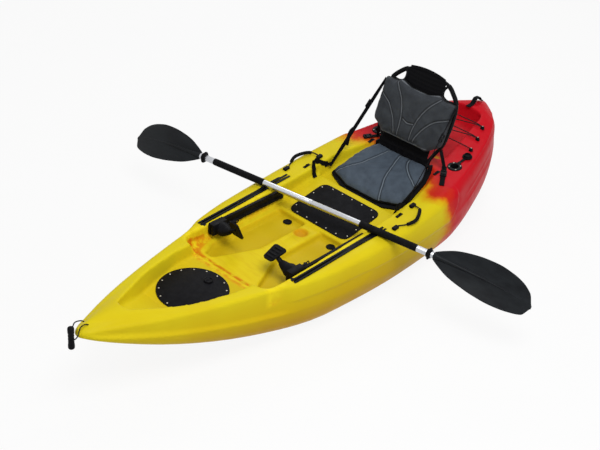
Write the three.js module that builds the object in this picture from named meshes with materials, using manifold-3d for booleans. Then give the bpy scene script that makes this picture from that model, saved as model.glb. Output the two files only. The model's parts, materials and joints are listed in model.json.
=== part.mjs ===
// A sit-on-top fishing kayak: rotomoulded hull, folding seat, foot braces, deck fittings and a two-piece paddle.
// Millimetres. +X points to the bow, +Y to port, +Z up; the origin is under the middle of the keel.
import * as THREE from "three";
import { mergeVertices } from "three/addons/utils/BufferGeometryUtils.js";
import Module from "manifold-3d";

const wasm = await Module();
wasm.setup();

// Hull: length, half beam and the heights of its lines
const hullLength = 2750;
const halfBeam = 392;
const sheerMid = 306;
const sheerRiseBow = 55;
const sheerRiseStern = 160;
const keelRiseBow = 340;
const keelRiseStern = 110;
const flatFrontX = 250;
const flatRearX = -500;
const gunwaleMid = 333;
const bowCrown = 22;
const sternCrown = 34;
const sideStepBow = 15;
const sideStepStern = 11;
const keelChannelDepth = 12;
// Half beam as a share of the greatest, at shares of the half length
const beamShares = [
  [-1, 0.07], [-0.985, 0.165], [-0.955, 0.27], [-0.909, 0.426], [-0.727, 0.714], [-0.436, 0.964],
  [-0.145, 1], [0.145, 0.936], [0.436, 0.732], [0.727, 0.462], [0.909, 0.223], [0.97, 0.116], [1, 0.033],
];
// Gunwale height as a share of its height amidships
const gunwaleShares = [
  [-1, 1.375], [-0.909, 1.4], [-0.811, 1.351], [-0.727, 1.297], [-0.553, 1.2], [-0.436, 1.15],
  [-0.26, 1.081], [-0.135, 1.024], [0, 1], [0.33, 0.957], [0.54, 0.998], [0.727, 1.045], [0.91, 1.092], [1, 1.09],
];
// Half width of the flat deck as a share of the half beam there
const deckShares = [
  [-1, 0.5], [-0.909, 0.78], [-0.727, 0.875], [-0.436, 0.886], [-0.145, 0.9], [0, 0.86],
  [0.33, 0.95], [0.45, 0.885], [0.54, 0.83], [0.727, 0.765], [0.909, 0.62], [1, 0.45],
];
// Cross-section from the keel to the crease: shares of the half beam and of the sheer's height over the keel
const bottomShares = [
  [0, 0], [0.1, 0], [0.5, 0], [0.66, 0.025], [0.8, 0.075], [0.89, 0.15], [0.955, 0.26], [1, 0.4], [1.02, 0.5],
];
const channelInnerShare = 0.14;
const channelOuterShare = 0.3;
const creaseBowShare = 0.55;
const creaseSternShare = 0.74;
const stationShares = [
  -1, -0.992, -0.98, -0.96, -0.935, -0.909, -0.87, -0.83, -0.78, -0.727, -0.67, -0.61, -0.55, -0.49, -0.455,
  -0.42, -0.364, -0.3, -0.24, -0.18, -0.12, -0.06, 0, 0.06, 0.12, 0.182, 0.24, 0.29, 0.325, 0.345, 0.365,
  0.385, 0.42, 0.47, 0.53, 0.59, 0.65, 0.71, 0.77, 0.83, 0.88, 0.92, 0.95, 0.972, 0.988, 1,
];

// Clearances and the run of a cut past a face
const gap = 0.3;
const overrun = 80;
const deckClear = 0.5;
const seatDepth = 0.8;
const seatHeight = 24;
const deckSpan = 20;

// Cockpit: foot well, thwart and seat ledge
const wellHalfWidth = 262;
const wellFrontX = 603;
const wellRearX = -5;
const wellFloorZ = 245;
const wellWallFootZ = 262;
const wellFrontSlope = 62;
const wellWallSlope = 26;
const wellCornerR = 68;
const heelDepth = 25;
const heelInnerY = 60;
const heelOuterY = 224;
const thwartFrontZ = 251.5;
const thwartSlope = 0.155;
const thwartBevel = 10;
const seatFrontX = -328;
const seatRearX = -692;
const seatFrontZ = 273;
const seatSlope = 0.3;
const seatBendX = -560;
const seatBendHalfWidth = 236;
const seatRearHalfWidth = 196;

// Bow recess with its plate
const bowPlateX = 764;
const bowPlateHalfLength = 157;
const bowPlateHalfWidth = 158;
const bowRecessZ = 262;
const bowRecessHalfWidth = 184;
const bowRecessWall = 11;
const bowApexX = 1150;
const bowShelfX = 935;
const bowApexZ = 338;
const plateThickness = 4;
const bowCapX = 672;
const bowCapR = 21;
const bowCapHeight = 7;

// Plate on the thwart
const deckPlateX = -155;
const deckPlateLength = 268;
const deckPlateWidth = 366;
const deckPlateCornerR = 46;

// Tank well behind the seat, with its bungee
const tankFrontX = -772;
const tankRearX = -1212;
const tankHalfWidthFront = 168;
const tankHalfWidthRear = 92;
const tankFrontZ = 345;
const tankSlope = 0.165;
const tankWall = 13;
const tankCornerR = 46;
const bungeeR = 2.5;
const bungeeEyeAheads = [280, 186, 97];
const bungeeEyeXs = bungeeEyeAheads.map((ahead) => tankRearX + ahead);
const bungeeEyeInset = 42;
const bungeeEyeR = 8;
const bungeeEyeHeight = 13;
const bungeeEyeClear = 3.4;
const bungeeLift = 10.5;

// Gear tracks on the gunwales
const trackLength = 606;
const trackWidth = 28;
const trackHeight = 9;
const trackProud = 1;
const trackSlotWidth = 9;
const trackSlotUnder = 17;
const trackLipHeight = 2.5;
const trackFloor = 2;
const trackMidX = 153;
const trackMidY = 299;
const trackToe = 0.021;

// Foot braces: a rail on each wall, a sliding pedal and its lock lever
const railLength = 490;
const railMidX = 185;
const railHeight = 50;
const railDepth = 14;
const railTopZ = 322;
const railNotchPitch = 27;
const railNotchWidth = 11;
const railNotchDepth = 7;
const railGroove = 4;
const railGrooveHeight = 22;
const pedalX = 386;
const carriageLength = 84;
const carriageDepth = 20;
const carriageOverlap = 6;
const pedalArmFootR = 19;
const pedalArmTipR = 9;
const pedalPadLength = 94;
const pedalPadWidthFore = 50;
const pedalPadWidthAft = 74;
const pedalPadCornerR = 14;
const pedalPadThickness = 8;
const pedalPadRib = 3;
const pedalPadAhead = 8;
const pedalPadReach = 127;
const pedalPadRise = 51;
// The pads turn stiffly on their arms: the port one lies nearly level, the starboard one faces the paddler
const pedalPadTurn = { port: 0.23, starboard: -0.7 };
const leverLength = 52;
const leverWidth = 14;
const leverThickness = 7;
const leverPivotR = 6;

// Scupper holes in the heel channels, with plugs
const scupperX = 22;
const scupperY = 138;
const scupperR = 15;
const plugFlangeR = 22;
const plugFlangeHeight = 5;
const plugStem = 22;
const plugWaist = 1.5;

// Flush rod holders with caps on a rubber hinge
const holderX = -771;
const holderY = 243;
const holderBoreR = 20;
const holderWall = 2.5;
const holderFlangeR = 37;
const holderFlangeHeight = 5;
const holderDepth = 190;
const capR = 25;
const capHeight = 9;
const capPlugR = 18;
const capPlugDepth = 10;
const capReach = 106;
const capStrapWidth = 16;
const capStrapThickness = 4;

// Carry handles on both sides
const handleFrontX = -178;
const handleRearX = -367;
const handleFrontY = 346;
const handleRearY = 297;
const handleBulge = 36;
const handleRearBulge = 40;
const handleGripR = 8.5;
const handleCordR = 3;
const handleClear = 10.5;
const handleCordSlack = 1;
const handleFrontClear = 1.4;
const handleRearClear = 3.8;
const gripFromShare = 0.2;
const gripToShare = 0.84;
const anchorLength = 34;
const anchorWidth = 20;
const anchorHeight = 14;

// Grab toggle at the bow and strap handle at the stern
const toggleAhead = 25;
const toggleX = hullLength / 2 + toggleAhead;
const toggleTopZ = 402;
const toggleLength = 106;
const toggleR = 12.5;
const toggleWaistR = 10;
const toggleCordR = 2.5;
const sternHandleLength = 128;
const sternHandleWidth = 27;
const sternHandleThickness = 4;
const sternHandleRise = 24;
const sternHandleInset = 113;
const sternHandleX = sternHandleInset - hullLength / 2;
const sternHandleFoot = 24;

// Seat: board, pad, folding back and straps. Outlines are port corners: along or across, out, radius.
const seatBoardThickness = 10;
const seatBoardShape = [[-8, 104, 60], [-62, 229, 30], [-276, 206, 60], [-362, 178, 16]];
const seatPadShape = [[-18, 98, 60], [-66, 221, 28], [-270, 200, 60], [-343, 158, 24]];
const seatPadThickness = 26;
const seatPadCrown = 8;
const backHingeX = -668;
const backHingeLift = 29;
const backLean = 0.28;
const hingePinR = 5;
const hingeBarrelR = 9;
const hingeBarrelY = 149;
const hingeBarrelLength = 22;
const hingeEarY = 169;
const hingeEarWidth = 9;
const hingeEarLength = 24;
const backTubeR = 9;
// Back frame's centreline from its foot to the middle of its top: out, up
const backTubeLine = [
  [149, 4], [150, 28], [170, 74], [196, 128], [206, 200], [207, 290], [201, 330], [184, 358], [162, 381], [138, 402],
  [112, 414], [56, 421],
];
const meshThickness = 3;
const backMeshShape = [[143, 20, 8], [143, 75, 30], [199, 124, 20], [207, 324, 12], [166, 329, 30], [117, 357, 8], [112, 433, 12]];
const backPadShape = [[141, 76, 14], [209, 119, 12], [214, 328, 12], [167, 337, 30], [116, 366, 10], [50, 344, 60]];
const backPadThicknessLow = 46;
const backPadThicknessHigh = 24;
const backPadCrown = 7;
const strapWidth = 25;
const strapThickness = 2.4;
const frontStrapFoot = [-388, 240];
const frontStrapFootZ = 331;
const frontStrapTop = [215.3, 326];
const frontBuckleShare = 0.7;
const rearStrapTop = [195.5, 100];
const rearStrapFoot = [-724, 214];
const rearStrapTail = [-596, 294];
const rearBuckleShare = 0.36;
const rearEye = [-667, 210];
const midEye = [-270, 294];
const buckleLength = 44;
const buckleWidth = 32;
const buckleThickness = 7;
const eyeLength = 42;
const eyeWidth = 15;
const eyeBaseHeight = 3;
const eyeLoopR = 9;
const eyeWireR = 2.6;

// Paddle across the gunwales
const paddleX = -26;
const paddleY = -44;
const paddleAngle = 0.15;
const shaftR = 15;
const shaftWall = 1.6;
const shaftHalf = 658;
const ferruleHalf = 62;
const ferruleCollarR = 16.2;
const ferruleCollarHalf = 7;
const ringSetback = 23;
const ringAt = shaftHalf - ringSetback;
const gripLength = 301;
const gripSetback = 62;
const gripEnd = ringAt - gripSetback;
const gripStart = gripEnd - gripLength;
const gripWall = 2.2;
const ringR = 29;
const ringHalf = 11;
const bladeNeck = 40;
const bladeLength = 464;
const bladeTip = shaftHalf + bladeLength;
const bladeWidth = 181;
const bladeThickness = 4;
const bladeCrank = 42;
const bladeSpoon = 66;
const bladeDish = 9;
const bladeTurn = 0.94;
// Along the blade: its half width, and how far its middle lies towards the low edge, both in half widths
const bladeWidthShares = [
  [0, 0.2], [0.07, 0.4], [0.2, 0.69], [0.34, 0.86], [0.47, 0.96], [0.61, 1], [0.74, 0.94], [0.855, 0.8], [0.944, 0.57], [1, 0.24],
];
const bladeMiddleShares = [[0, 0], [0.34, 0.06], [0.61, 0.15], [0.74, 0.22], [0.855, 0.3], [0.944, 0.41], [1, 0.48]];

const halfLength = hullLength / 2;

// Materials
const material = (color, roughness, metalness = 0) => new THREE.MeshStandardMaterial({ color, roughness, metalness });
const polyethylene = material(0xd8c52c, 0.45);
const blackPlastic = material(0x1c1c1e, 0.5);
const blackRubber = material(0x202022, 0.75);
const blackWebbing = material(0x18181a, 0.9);
const greyCloth = material(0x4a5560, 0.9);
const darkCloth = material(0x3e4248, 0.9);
const meshCloth = material(0x141416, 0.95);
const blackAnodised = material(0x1f2022, 0.4, 0.6);
const alloy = material(0xb9bcc0, 0.3, 1);
const bladeNylon = material(0x2a2d31, 0.45);

const kayak = new THREE.Group();

function add(name, shape, finish) {
  const geometry = shape.isBufferGeometry ? shape : toGeometry(shape);
  geometry.computeVertexNormals();
  const mesh = new THREE.Mesh(geometry, finish);
  mesh.name = name;
  kayak.add(mesh);
  return mesh;
}

// Closed geometry to a solid for cuts and joins, and back
function toSolid(geometry) {
  const bare = new THREE.BufferGeometry();
  bare.setAttribute("position", geometry.getAttribute("position"));
  bare.setIndex(geometry.index);
  const merged = mergeVertices(bare, 1e-3);
  const mesh = new wasm.Mesh({
    numProp: 3,
    vertProperties: merged.attributes.position.array,
    triVerts: new Uint32Array(merged.index.array),
  });
  return new wasm.Manifold(mesh);
}

function toGeometry(solid) {
  const mesh = solid.getMesh();
  const geometry = new THREE.BufferGeometry();
  geometry.setAttribute("position", new THREE.BufferAttribute(new Float32Array(mesh.vertProperties), 3));
  geometry.setIndex(new THREE.BufferAttribute(new Uint32Array(mesh.triVerts), 1));
  return geometry;
}

const union = (...solids) => solids.reduce((a, b) => a.add(b));
const cutAll = (body, tools) => tools.reduce((a, b) => a.subtract(b), body);

// Smooth value of a table of [place, value] pairs
function along(table, s) {
  const last = table.length - 1;
  if (s <= table[0][0]) return table[0][1];
  if (s >= table[last][0]) return table[last][1];
  const i = table.findIndex((row) => row[0] > s) - 1;
  const rate = (k) => (table[k + 1][1] - table[k][1]) / (table[k + 1][0] - table[k][0]);
  const slope = (k) => {
    if (k === 0) return rate(0);
    if (k === last) return rate(last - 1);
    const [before, after] = [rate(k - 1), rate(k)];
    return before * after <= 0 ? 0 : (2 * before * after) / (before + after);
  };
  const [x0, y0] = table[i];
  const [x1, y1] = table[i + 1];
  const span = x1 - x0;
  const t = (s - x0) / span;
  const rise = slope(i) * span * t * (1 - t) ** 2 - slope(i + 1) * span * t * t * (1 - t);
  return y0 + (y1 - y0) * t * t * (3 - 2 * t) + rise;
}

const ramp = (x, from, to) => THREE.MathUtils.smoothstep(x, Math.min(from, to), Math.max(from, to));

// Closed surface through rings of equally many points, with flat ends
function loft(rings, capPlane = ["x", "y"]) {
  const count = rings[0].length;
  const positions = rings.flat().flatMap((p) => [p.x, p.y, p.z]);
  const index = [];
  for (let r = 0; r + 1 < rings.length; r++) {
    for (let i = 0; i < count; i++) {
      const [a, b] = [r * count + i, r * count + ((i + 1) % count)];
      index.push(a, b, b + count, a, b + count, a + count);
    }
  }
  const cap = (ring, base, sameTurn) => {
    const flat = ring.map((p) => new THREE.Vector2(p[capPlane[0]], p[capPlane[1]]));
    const keep = THREE.ShapeUtils.area(flat) > 0 === sameTurn;
    for (const [a, b, c] of THREE.ShapeUtils.triangulateShape(flat, [])) {
      const [i, j, k] = keep ? [a, b, c] : [a, c, b];
      index.push(base + i, base + j, base + k);
    }
  };
  cap(rings[0], 0, false);
  cap(rings[rings.length - 1], (rings.length - 1) * count, true);
  const geometry = new THREE.BufferGeometry();
  geometry.setAttribute("position", new THREE.Float32BufferAttribute(positions, 3));
  geometry.setIndex(index);
  return outward(geometry);
}

// Turns a closed geometry's faces outwards
function outward(geometry) {
  const p = geometry.getAttribute("position");
  const index = geometry.index.array;
  const [a, b, c] = [new THREE.Vector3(), new THREE.Vector3(), new THREE.Vector3()];
  let volume = 0;
  for (let i = 0; i < index.length; i += 3) {
    a.fromBufferAttribute(p, index[i]);
    b.fromBufferAttribute(p, index[i + 1]);
    c.fromBufferAttribute(p, index[i + 2]);
    volume += a.dot(b.cross(c));
  }
  if (volume > 0) return geometry;
  const turned = Array.from(index);
  for (let i = 0; i < turned.length; i += 3) [turned[i + 1], turned[i + 2]] = [turned[i + 2], turned[i + 1]];
  geometry.setIndex(turned);
  return geometry;
}

// Outline with rounded corners: each corner is [x, y, radius]
function outline(corners, steps = 5) {
  const points = [];
  corners.forEach(([x, y, r = 0], i) => {
    const here = new THREE.Vector2(x, y);
    if (!r) {
      points.push(here);
      return;
    }
    const [px, py] = corners[(i + corners.length - 1) % corners.length];
    const [nx, ny] = corners[(i + 1) % corners.length];
    const back = new THREE.Vector2(px, py).sub(here);
    const on = new THREE.Vector2(nx, ny).sub(here);
    const half = Math.acos(THREE.MathUtils.clamp(back.clone().normalize().dot(on.clone().normalize()), -1, 1)) / 2;
    const reach = Math.min(r / Math.tan(half), back.length() / 2, on.length() / 2);
    const start = here.clone().addScaledVector(back.normalize(), reach);
    const end = here.clone().addScaledVector(on.normalize(), reach);
    const curve = new THREE.QuadraticBezierCurve(start, here, end);
    points.push(...curve.getPoints(steps));
  });
  return points;
}

// Port corners and their mirror image, as one closed outline: across y, or across x for the seat's back
const mirroredOut = (corners) => [...corners, ...corners.map(([x, y, r]) => [-x, y, r]).reverse()];
const mirrored = (corners) => [...corners, ...corners.map(([x, y, r]) => [x, -y, r]).reverse()];

// A cutter with drafted walls: levels of [corners, height or height at (x, y)]
function pocket(levels, steps) {
  const rings = levels.map(([corners, height]) =>
    outline(corners, steps).map((p) => new THREE.Vector3(p.x, p.y, typeof height === "number" ? height : height(p.x, p.y))),
  );
  return toSolid(loft(rings));
}

// A flat plate or prism of an outline, from z upwards
function plate(points, z, height) {
  const geometry = new THREE.ExtrudeGeometry(new THREE.Shape(points), { depth: height, bevelEnabled: false });
  return geometry.translate(0, 0, z);
}

// A round bar along a list of points
function bar(points, radius, sides = 8, steps = 24) {
  const circle = new THREE.Shape();
  for (let i = 0; i < sides; i++) {
    const turn = (2 * Math.PI * i) / sides;
    const [x, y] = [radius * Math.cos(turn), radius * Math.sin(turn)];
    if (i) circle.lineTo(x, y);
    else circle.moveTo(x, y);
  }
  const path = points.length === 2 ? new THREE.LineCurve3(...points) : new THREE.CatmullRomCurve3(points);
  const runSteps = points.length === 2 ? 1 : steps;
  return new THREE.ExtrudeGeometry(circle, { steps: runSteps, extrudePath: path, bevelEnabled: false });
}

const vec = (x, y, z) => new THREE.Vector3(x, y, z);
const drum = (radius, height, z, sides = 24) =>
  new THREE.CylinderGeometry(radius, radius, height, sides).rotateX(Math.PI / 2).translate(0, 0, z + height / 2);
const revolve = (profile, sides = 24) =>
  new THREE.LatheGeometry(profile.map(([x, y]) => new THREE.Vector2(x, y)), sides).rotateX(Math.PI / 2);

// The lines of the hull at a station
const beamAt = (x) => halfBeam * along(beamShares, x / halfLength);
const gunwaleAt = (x) => gunwaleMid * along(gunwaleShares, x / halfLength);
const deckHalfAt = (x) => beamAt(x) * along(deckShares, x / halfLength);
const sheerAt = (x) => sheerMid + (x > 0 ? sheerRiseBow : sheerRiseStern) * (x / halfLength) ** 2;
const crownAt = (x) => bowCrown * ramp(x, wellFrontX, bowApexX) + sternCrown * ramp(-x, -tankFrontX, -tankRearX);

function keelAt(x) {
  const powerShare = 1.7;
  if (x > flatFrontX) return keelRiseBow * ((x - flatFrontX) / (halfLength - flatFrontX)) ** powerShare;
  if (x < flatRearX) return keelRiseStern * ((flatRearX - x) / (halfLength + flatRearX)) ** powerShare;
  return 0;
}

const deckAt = (x, y) => gunwaleAt(x) + crownAt(x) * (1 - Math.min(1, Math.abs(y) / deckHalfAt(x)) ** 2);

// The side steps in above the crease, ahead of the foot well and behind the seat
const stepBowFrom = 0.318 * halfLength;
const stepBowTo = 0.4 * halfLength;
const stepSternFrom = 0.44 * halfLength;
const stepSternTo = 0.56 * halfLength;
const tipShare = 0.93;
function stepAt(x) {
  const fade = 1 - ramp(Math.abs(x), tipShare * halfLength, halfLength);
  return fade * (sideStepBow * ramp(x, stepBowFrom, stepBowTo) + sideStepStern * ramp(-x, stepSternFrom, stepSternTo));
}

function sectionAt(x) {
  const [beam, keel, sheer, step] = [beamAt(x), keelAt(x), sheerAt(x), stepAt(x)];
  const height = sheer - keel;
  const crease = x > 0 ? creaseBowShare : creaseSternShare;
  const lift = (share) => {
    const inChannel = share > channelInnerShare && share < channelOuterShare;
    return inChannel ? (keelChannelDepth * height) / sheerMid : 0;
  };
  const creaseBreadth = 1.03;
  const ledgeShare = 0.035;
  const half = [];
  for (const [across, up] of bottomShares) half.push([beam * across, keel + height * up]);
  const edge = 0.012;
  const channel = [channelInnerShare, channelInnerShare + edge, channelOuterShare - edge, channelOuterShare];
  channel.forEach((share, i) => half.splice(2 + i, 0, [beam * share, keel + lift(i === 1 || i === 2 ? 0.2 : 0)]));
  half.push([beam * creaseBreadth, keel + height * crease]);
  half.push([beam * creaseBreadth - step, keel + height * (crease + ledgeShare)]);
  half.push([beam * (1 + creaseBreadth) * 0.5 - step, keel + height * (1 + crease + ledgeShare) * 0.5]);
  const [sideY, deckY, top] = [beam - step * 0.8, deckHalfAt(x), gunwaleAt(x)];
  const arcSteps = 4;
  for (let i = 0; i <= arcSteps; i++) {
    const turn = (Math.PI / 2) * (i / arcSteps);
    half.push([deckY + (sideY - deckY) * Math.cos(turn), sheer + (top - sheer) * Math.sin(turn)]);
  }
  for (const share of [0.75, 0.5, 0.25, 0]) half.push([deckY * share, deckAt(x, deckY * share)]);
  const port = half.map(([y, z]) => vec(x, y, z));
  const starboard = half.slice(1, -1).map(([y, z]) => vec(x, -y, z)).reverse();
  return [...port, ...starboard];
}

// Floors of the cockpit
const thwartAt = (x) => thwartFrontZ + thwartSlope * (wellRearX - x);
const seatFloorAt = (x) => seatFrontZ + seatSlope * (seatFrontX - x);
const tankFloorAt = (x) => tankFrontZ + tankSlope * (tankFrontX - x);
const aboveDeck = gunwaleMid + overrun;
const aboveStern = gunwaleMid * 1.4 + sternCrown + overrun;

function footWell() {
  const rim = mirrored([[wellRearX, wellHalfWidth], [wellFrontX, wellHalfWidth, wellCornerR]]);
  const footX = wellFrontX - wellFrontSlope * 0.5;
  const foot = mirrored([[wellRearX, wellHalfWidth - gap], [footX, wellHalfWidth - gap, wellCornerR]]);
  const floorX = wellFrontX - wellFrontSlope;
  const floor = mirrored([[wellRearX, wellHalfWidth - wellWallSlope], [floorX, wellHalfWidth - wellWallSlope, wellCornerR]]);
  return pocket([[rim, aboveDeck], [rim, gunwaleMid - plateThickness], [foot, wellWallFootZ], [floor, wellFloorZ]], 6);
}

// The heel channels on both sides of the raised middle of the foot well's floor
function heelChannel(side) {
  const frontX = wellFrontX - wellFrontSlope - heelDepth;
  const flareX = (wellFrontX + wellRearX) / 2;
  const shape = (inset) => [
    [wellRearX + gap, side * (heelInnerY - heelDepth / 2 + inset)],
    [flareX, side * (heelInnerY - heelDepth / 2 + inset)],
    [frontX - inset, side * (heelInnerY * 2.4)],
    [frontX - inset, side * (heelOuterY - wellCornerR / 2)],
    [frontX - wellCornerR - inset, side * (heelOuterY - inset)],
    [wellRearX + gap, side * (heelOuterY - inset)],
  ];
  const under = wellFloorZ - heelDepth;
  return pocket([[shape(0), wellWallFootZ + heelDepth], [shape(0), wellFloorZ + gap], [shape(heelDepth / 2), under]]);
}

function thwartCut() {
  const shape = (inset) => mirrored([[wellRearX + heelDepth, wellHalfWidth - inset], [seatFrontX - gap, wellHalfWidth - inset]]);
  const wallFoot = (x) => thwartAt(x) + thwartBevel;
  const levels = [[shape(0), aboveDeck], [shape(0), gunwaleMid], [shape(gap), wallFoot], [shape(tankWall), thwartAt]];
  return pocket(levels);
}

function seatCut() {
  const shape = (inset) => mirrored([
    [seatFrontX, wellHalfWidth - inset],
    [frontStrapFoot[0] - eyeLength, wellHalfWidth - inset],
    [seatBendX, seatBendHalfWidth - inset, wellCornerR],
    [seatRearX + inset / 2, seatRearHalfWidth - inset, tankCornerR],
  ]);
  return pocket([[shape(0), aboveStern], [shape(0), (x) => gunwaleAt(x)], [shape(tankWall), seatFloorAt]]);
}

function tankCut() {
  const shape = (inset) => mirrored([
    [tankRearX + inset, tankHalfWidthRear - inset, tankCornerR],
    [tankFrontX - inset, tankHalfWidthFront - inset, tankCornerR],
  ]);
  return pocket([[shape(0), aboveStern], [shape(0), (x) => gunwaleAt(x)], [shape(tankWall), tankFloorAt]], 6);
}

// The bow recess: a level floor for the plate, and a shelf that rises to the apex
function bowCuts() {
  const rearX = wellFrontX - wellFrontSlope;
  const apexHalf = 30;
  const levelRim = (inset) => mirrored([
    [rearX, bowRecessHalfWidth * 1.09 - inset],
    [bowPlateX - bowPlateHalfLength * 0.4, bowRecessHalfWidth * 1.03 - inset],
    [bowPlateX + bowPlateHalfLength * 0.55, bowRecessHalfWidth * 0.86 - inset],
    [bowShelfX, bowRecessHalfWidth * 0.72 - inset],
  ]);
  const shelfRim = (inset) => mirrored([
    [bowShelfX - gap, bowRecessHalfWidth * 0.72 + gap - inset],
    [bowApexX - inset * 2, apexHalf - inset, apexHalf],
  ]);
  const shelfAt = (x) => bowRecessZ + ((bowApexZ - bowRecessZ) * (x - bowShelfX)) / (bowApexX - bowShelfX);
  const level = pocket([[levelRim(0), aboveDeck], [levelRim(0), gunwaleMid], [levelRim(bowRecessWall), bowRecessZ]]);
  const shelf = pocket([[shelfRim(0), aboveDeck], [shelfRim(0), gunwaleMid + bowCrown / 2], [shelfRim(bowRecessWall), shelfAt]]);
  return [level, shelf];
}

// Places a geometry built at the origin onto a gear track's seat
function onTrack(geometry, side) {
  const [rearX, frontX] = [trackMidX - trackLength / 2, trackMidX + trackLength / 2];
  const pitch = Math.atan2(gunwaleAt(rearX) - gunwaleAt(frontX), trackLength);
  const topZ = (gunwaleAt(rearX) + gunwaleAt(frontX)) / 2;
  return geometry
    .rotateY(pitch)
    .rotateZ(-side * trackToe)
    .translate(trackMidX, side * trackMidY, topZ);
}

// Places a geometry built upright at the origin into a rod holder's seat
const holderTopZ = deckAt(holderX, holderY);
const holderLean = Math.atan((deckAt(holderX - capReach, holderY) - holderTopZ) / capReach);
const inHolder = (geometry, side) => geometry.rotateY(holderLean).translate(holderX, side * holderY, holderTopZ);

// Stands a geometry built at the origin in a shallow seat on the deck, along its slope
function onDeck(geometry, x, y) {
  const slope = Math.atan2(deckAt(x - deckSpan, y) - deckAt(x + deckSpan, y), 2 * deckSpan);
  return geometry.rotateY(slope).translate(x, y, deckAt(x, y) - seatDepth + gap);
}

// Turns a geometry built at the origin to stand on the wall beside the seat
const wallTop = gunwaleAt(frontStrapFoot[0]);
const wallFoot = seatFloorAt(frontStrapFoot[0]);
function onSeatWall(geometry, side) {
  const lean = Math.atan(tankWall / (wallTop - wallFoot));
  const wallY = wellHalfWidth - (tankWall * (wallTop - frontStrapFootZ)) / (wallTop - wallFoot);
  const placed = geometry.rotateX(Math.PI / 2 - lean).translate(frontStrapFoot[0], wallY + seatDepth - gap, frontStrapFootZ);
  return outward(placed.scale(1, side, 1));
}

// The seats of the deck fittings
function fittingSeats(side) {
  const seat = (length, width) => {
    const box = new THREE.BoxGeometry(length + 2 * gap, width + 2 * gap, seatHeight);
    return box.translate(0, 0, seatHeight / 2 - gap);
  };
  const places = [
    [handleFrontX, handleFrontY, anchorLength, anchorWidth], [handleRearX, handleRearY, anchorLength, anchorWidth],
    [...rearEye, eyeLength, eyeWidth], [...midEye, eyeLength, eyeWidth],
  ];
  const cuts = places.map(([x, y, length, width]) => toSolid(onDeck(seat(length, width), x, side * y)));
  cuts.push(toSolid(onSeatWall(seat(eyeLength, eyeWidth), side)));
  return cuts;
}

function hullSolid() {
  let hull = toSolid(loft(stationShares.map((s) => sectionAt(s * halfLength)), ["y", "z"]));
  const cutters = [footWell(), thwartCut(), seatCut(), tankCut(), ...bowCuts()];
  for (const side of [1, -1]) {
    cutters.push(heelChannel(side));
    const seat = new THREE.BoxGeometry(trackLength + 2 * gap, trackWidth + 2 * gap, trackHeight + overrun / 2);
    seat.translate(0, 0, (trackHeight + overrun / 2) / 2 - trackHeight + trackProud - gap);
    cutters.push(toSolid(onTrack(seat, side)));
    cutters.push(toSolid(drum(scupperR, overrun * 4, -overrun, 20).translate(scupperX, side * scupperY, 0)));
    const bore = drum(holderBoreR + holderWall + gap, holderDepth + overrun, -holderDepth - gap, 24);
    cutters.push(toSolid(inHolder(bore, side)));
    const boss = drum(holderFlangeR + gap, overrun, gap, 24);
    cutters.push(toSolid(inHolder(boss, side)));
    cutters.push(...fittingSeats(side));
  }
  hull = cutAll(hull, cutters);
  return hull;
}

add("hull", hullSolid(), polyethylene);

// Oval plate over the bow recess, with a round inspection cap
function ovalPoints(count) {
  const points = [];
  for (let i = 0; i < count; i++) {
    const turn = (2 * Math.PI * i) / count;
    points.push(new THREE.Vector2(bowPlateX + bowPlateHalfLength * Math.cos(turn), bowPlateHalfWidth * Math.sin(turn)));
  }
  return points;
}
const bowPlateTop = bowRecessZ + gap + plateThickness;
add("bow_hatch_plate", plate(ovalPoints(48), bowRecessZ + gap, plateThickness), blackPlastic);
const capProfile = [
  [0, 0], [bowCapR, 0], [bowCapR, bowCapHeight * 0.4], [bowCapR * 0.85, bowCapHeight * 0.8],
  [bowCapR * 0.5, bowCapHeight], [0, bowCapHeight],
];
add("bow_inspection_cap", revolve(capProfile, 28).translate(bowCapX, 0, bowPlateTop + gap), blackPlastic);

// Plate on the thwart
function deckPlate() {
  const [halfX, halfY] = [deckPlateLength / 2, deckPlateWidth / 2];
  const corners = [[-halfX, -halfY], [halfX, -halfY], [halfX, halfY], [-halfX, halfY]];
  const shape = outline(corners.map(([x, y]) => [x, y, deckPlateCornerR]), 6);
  const tilt = Math.atan(thwartSlope);
  return plate(shape, gap, plateThickness).rotateY(tilt).translate(deckPlateX, 0, thwartAt(deckPlateX));
}
add("centre_deck_plate", deckPlate(), blackPlastic);

// Gear track: a channel with inward lips over its slot
function trackShape() {
  const [half, slot, under] = [trackWidth / 2, trackSlotWidth / 2, trackSlotUnder / 2];
  const top = trackProud;
  const floor = trackProud - trackHeight + trackFloor;
  const points = [
    [-half, trackProud - trackHeight], [half, trackProud - trackHeight], [half, top], [slot, top],
    [slot, top - trackLipHeight], [under, top - trackLipHeight], [under, floor], [-under, floor],
    [-under, top - trackLipHeight], [-slot, top - trackLipHeight], [-slot, top], [-half, top],
  ];
  return new THREE.Shape(points.map(([y, z]) => new THREE.Vector2(y, z)));
}

function gearTrack(side) {
  const bar3 = new THREE.ExtrudeGeometry(trackShape(), { depth: trackLength, bevelEnabled: false });
  bar3.translate(0, 0, -trackLength / 2).rotateX(Math.PI / 2).rotateZ(Math.PI / 2);
  return onTrack(bar3, side);
}

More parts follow.
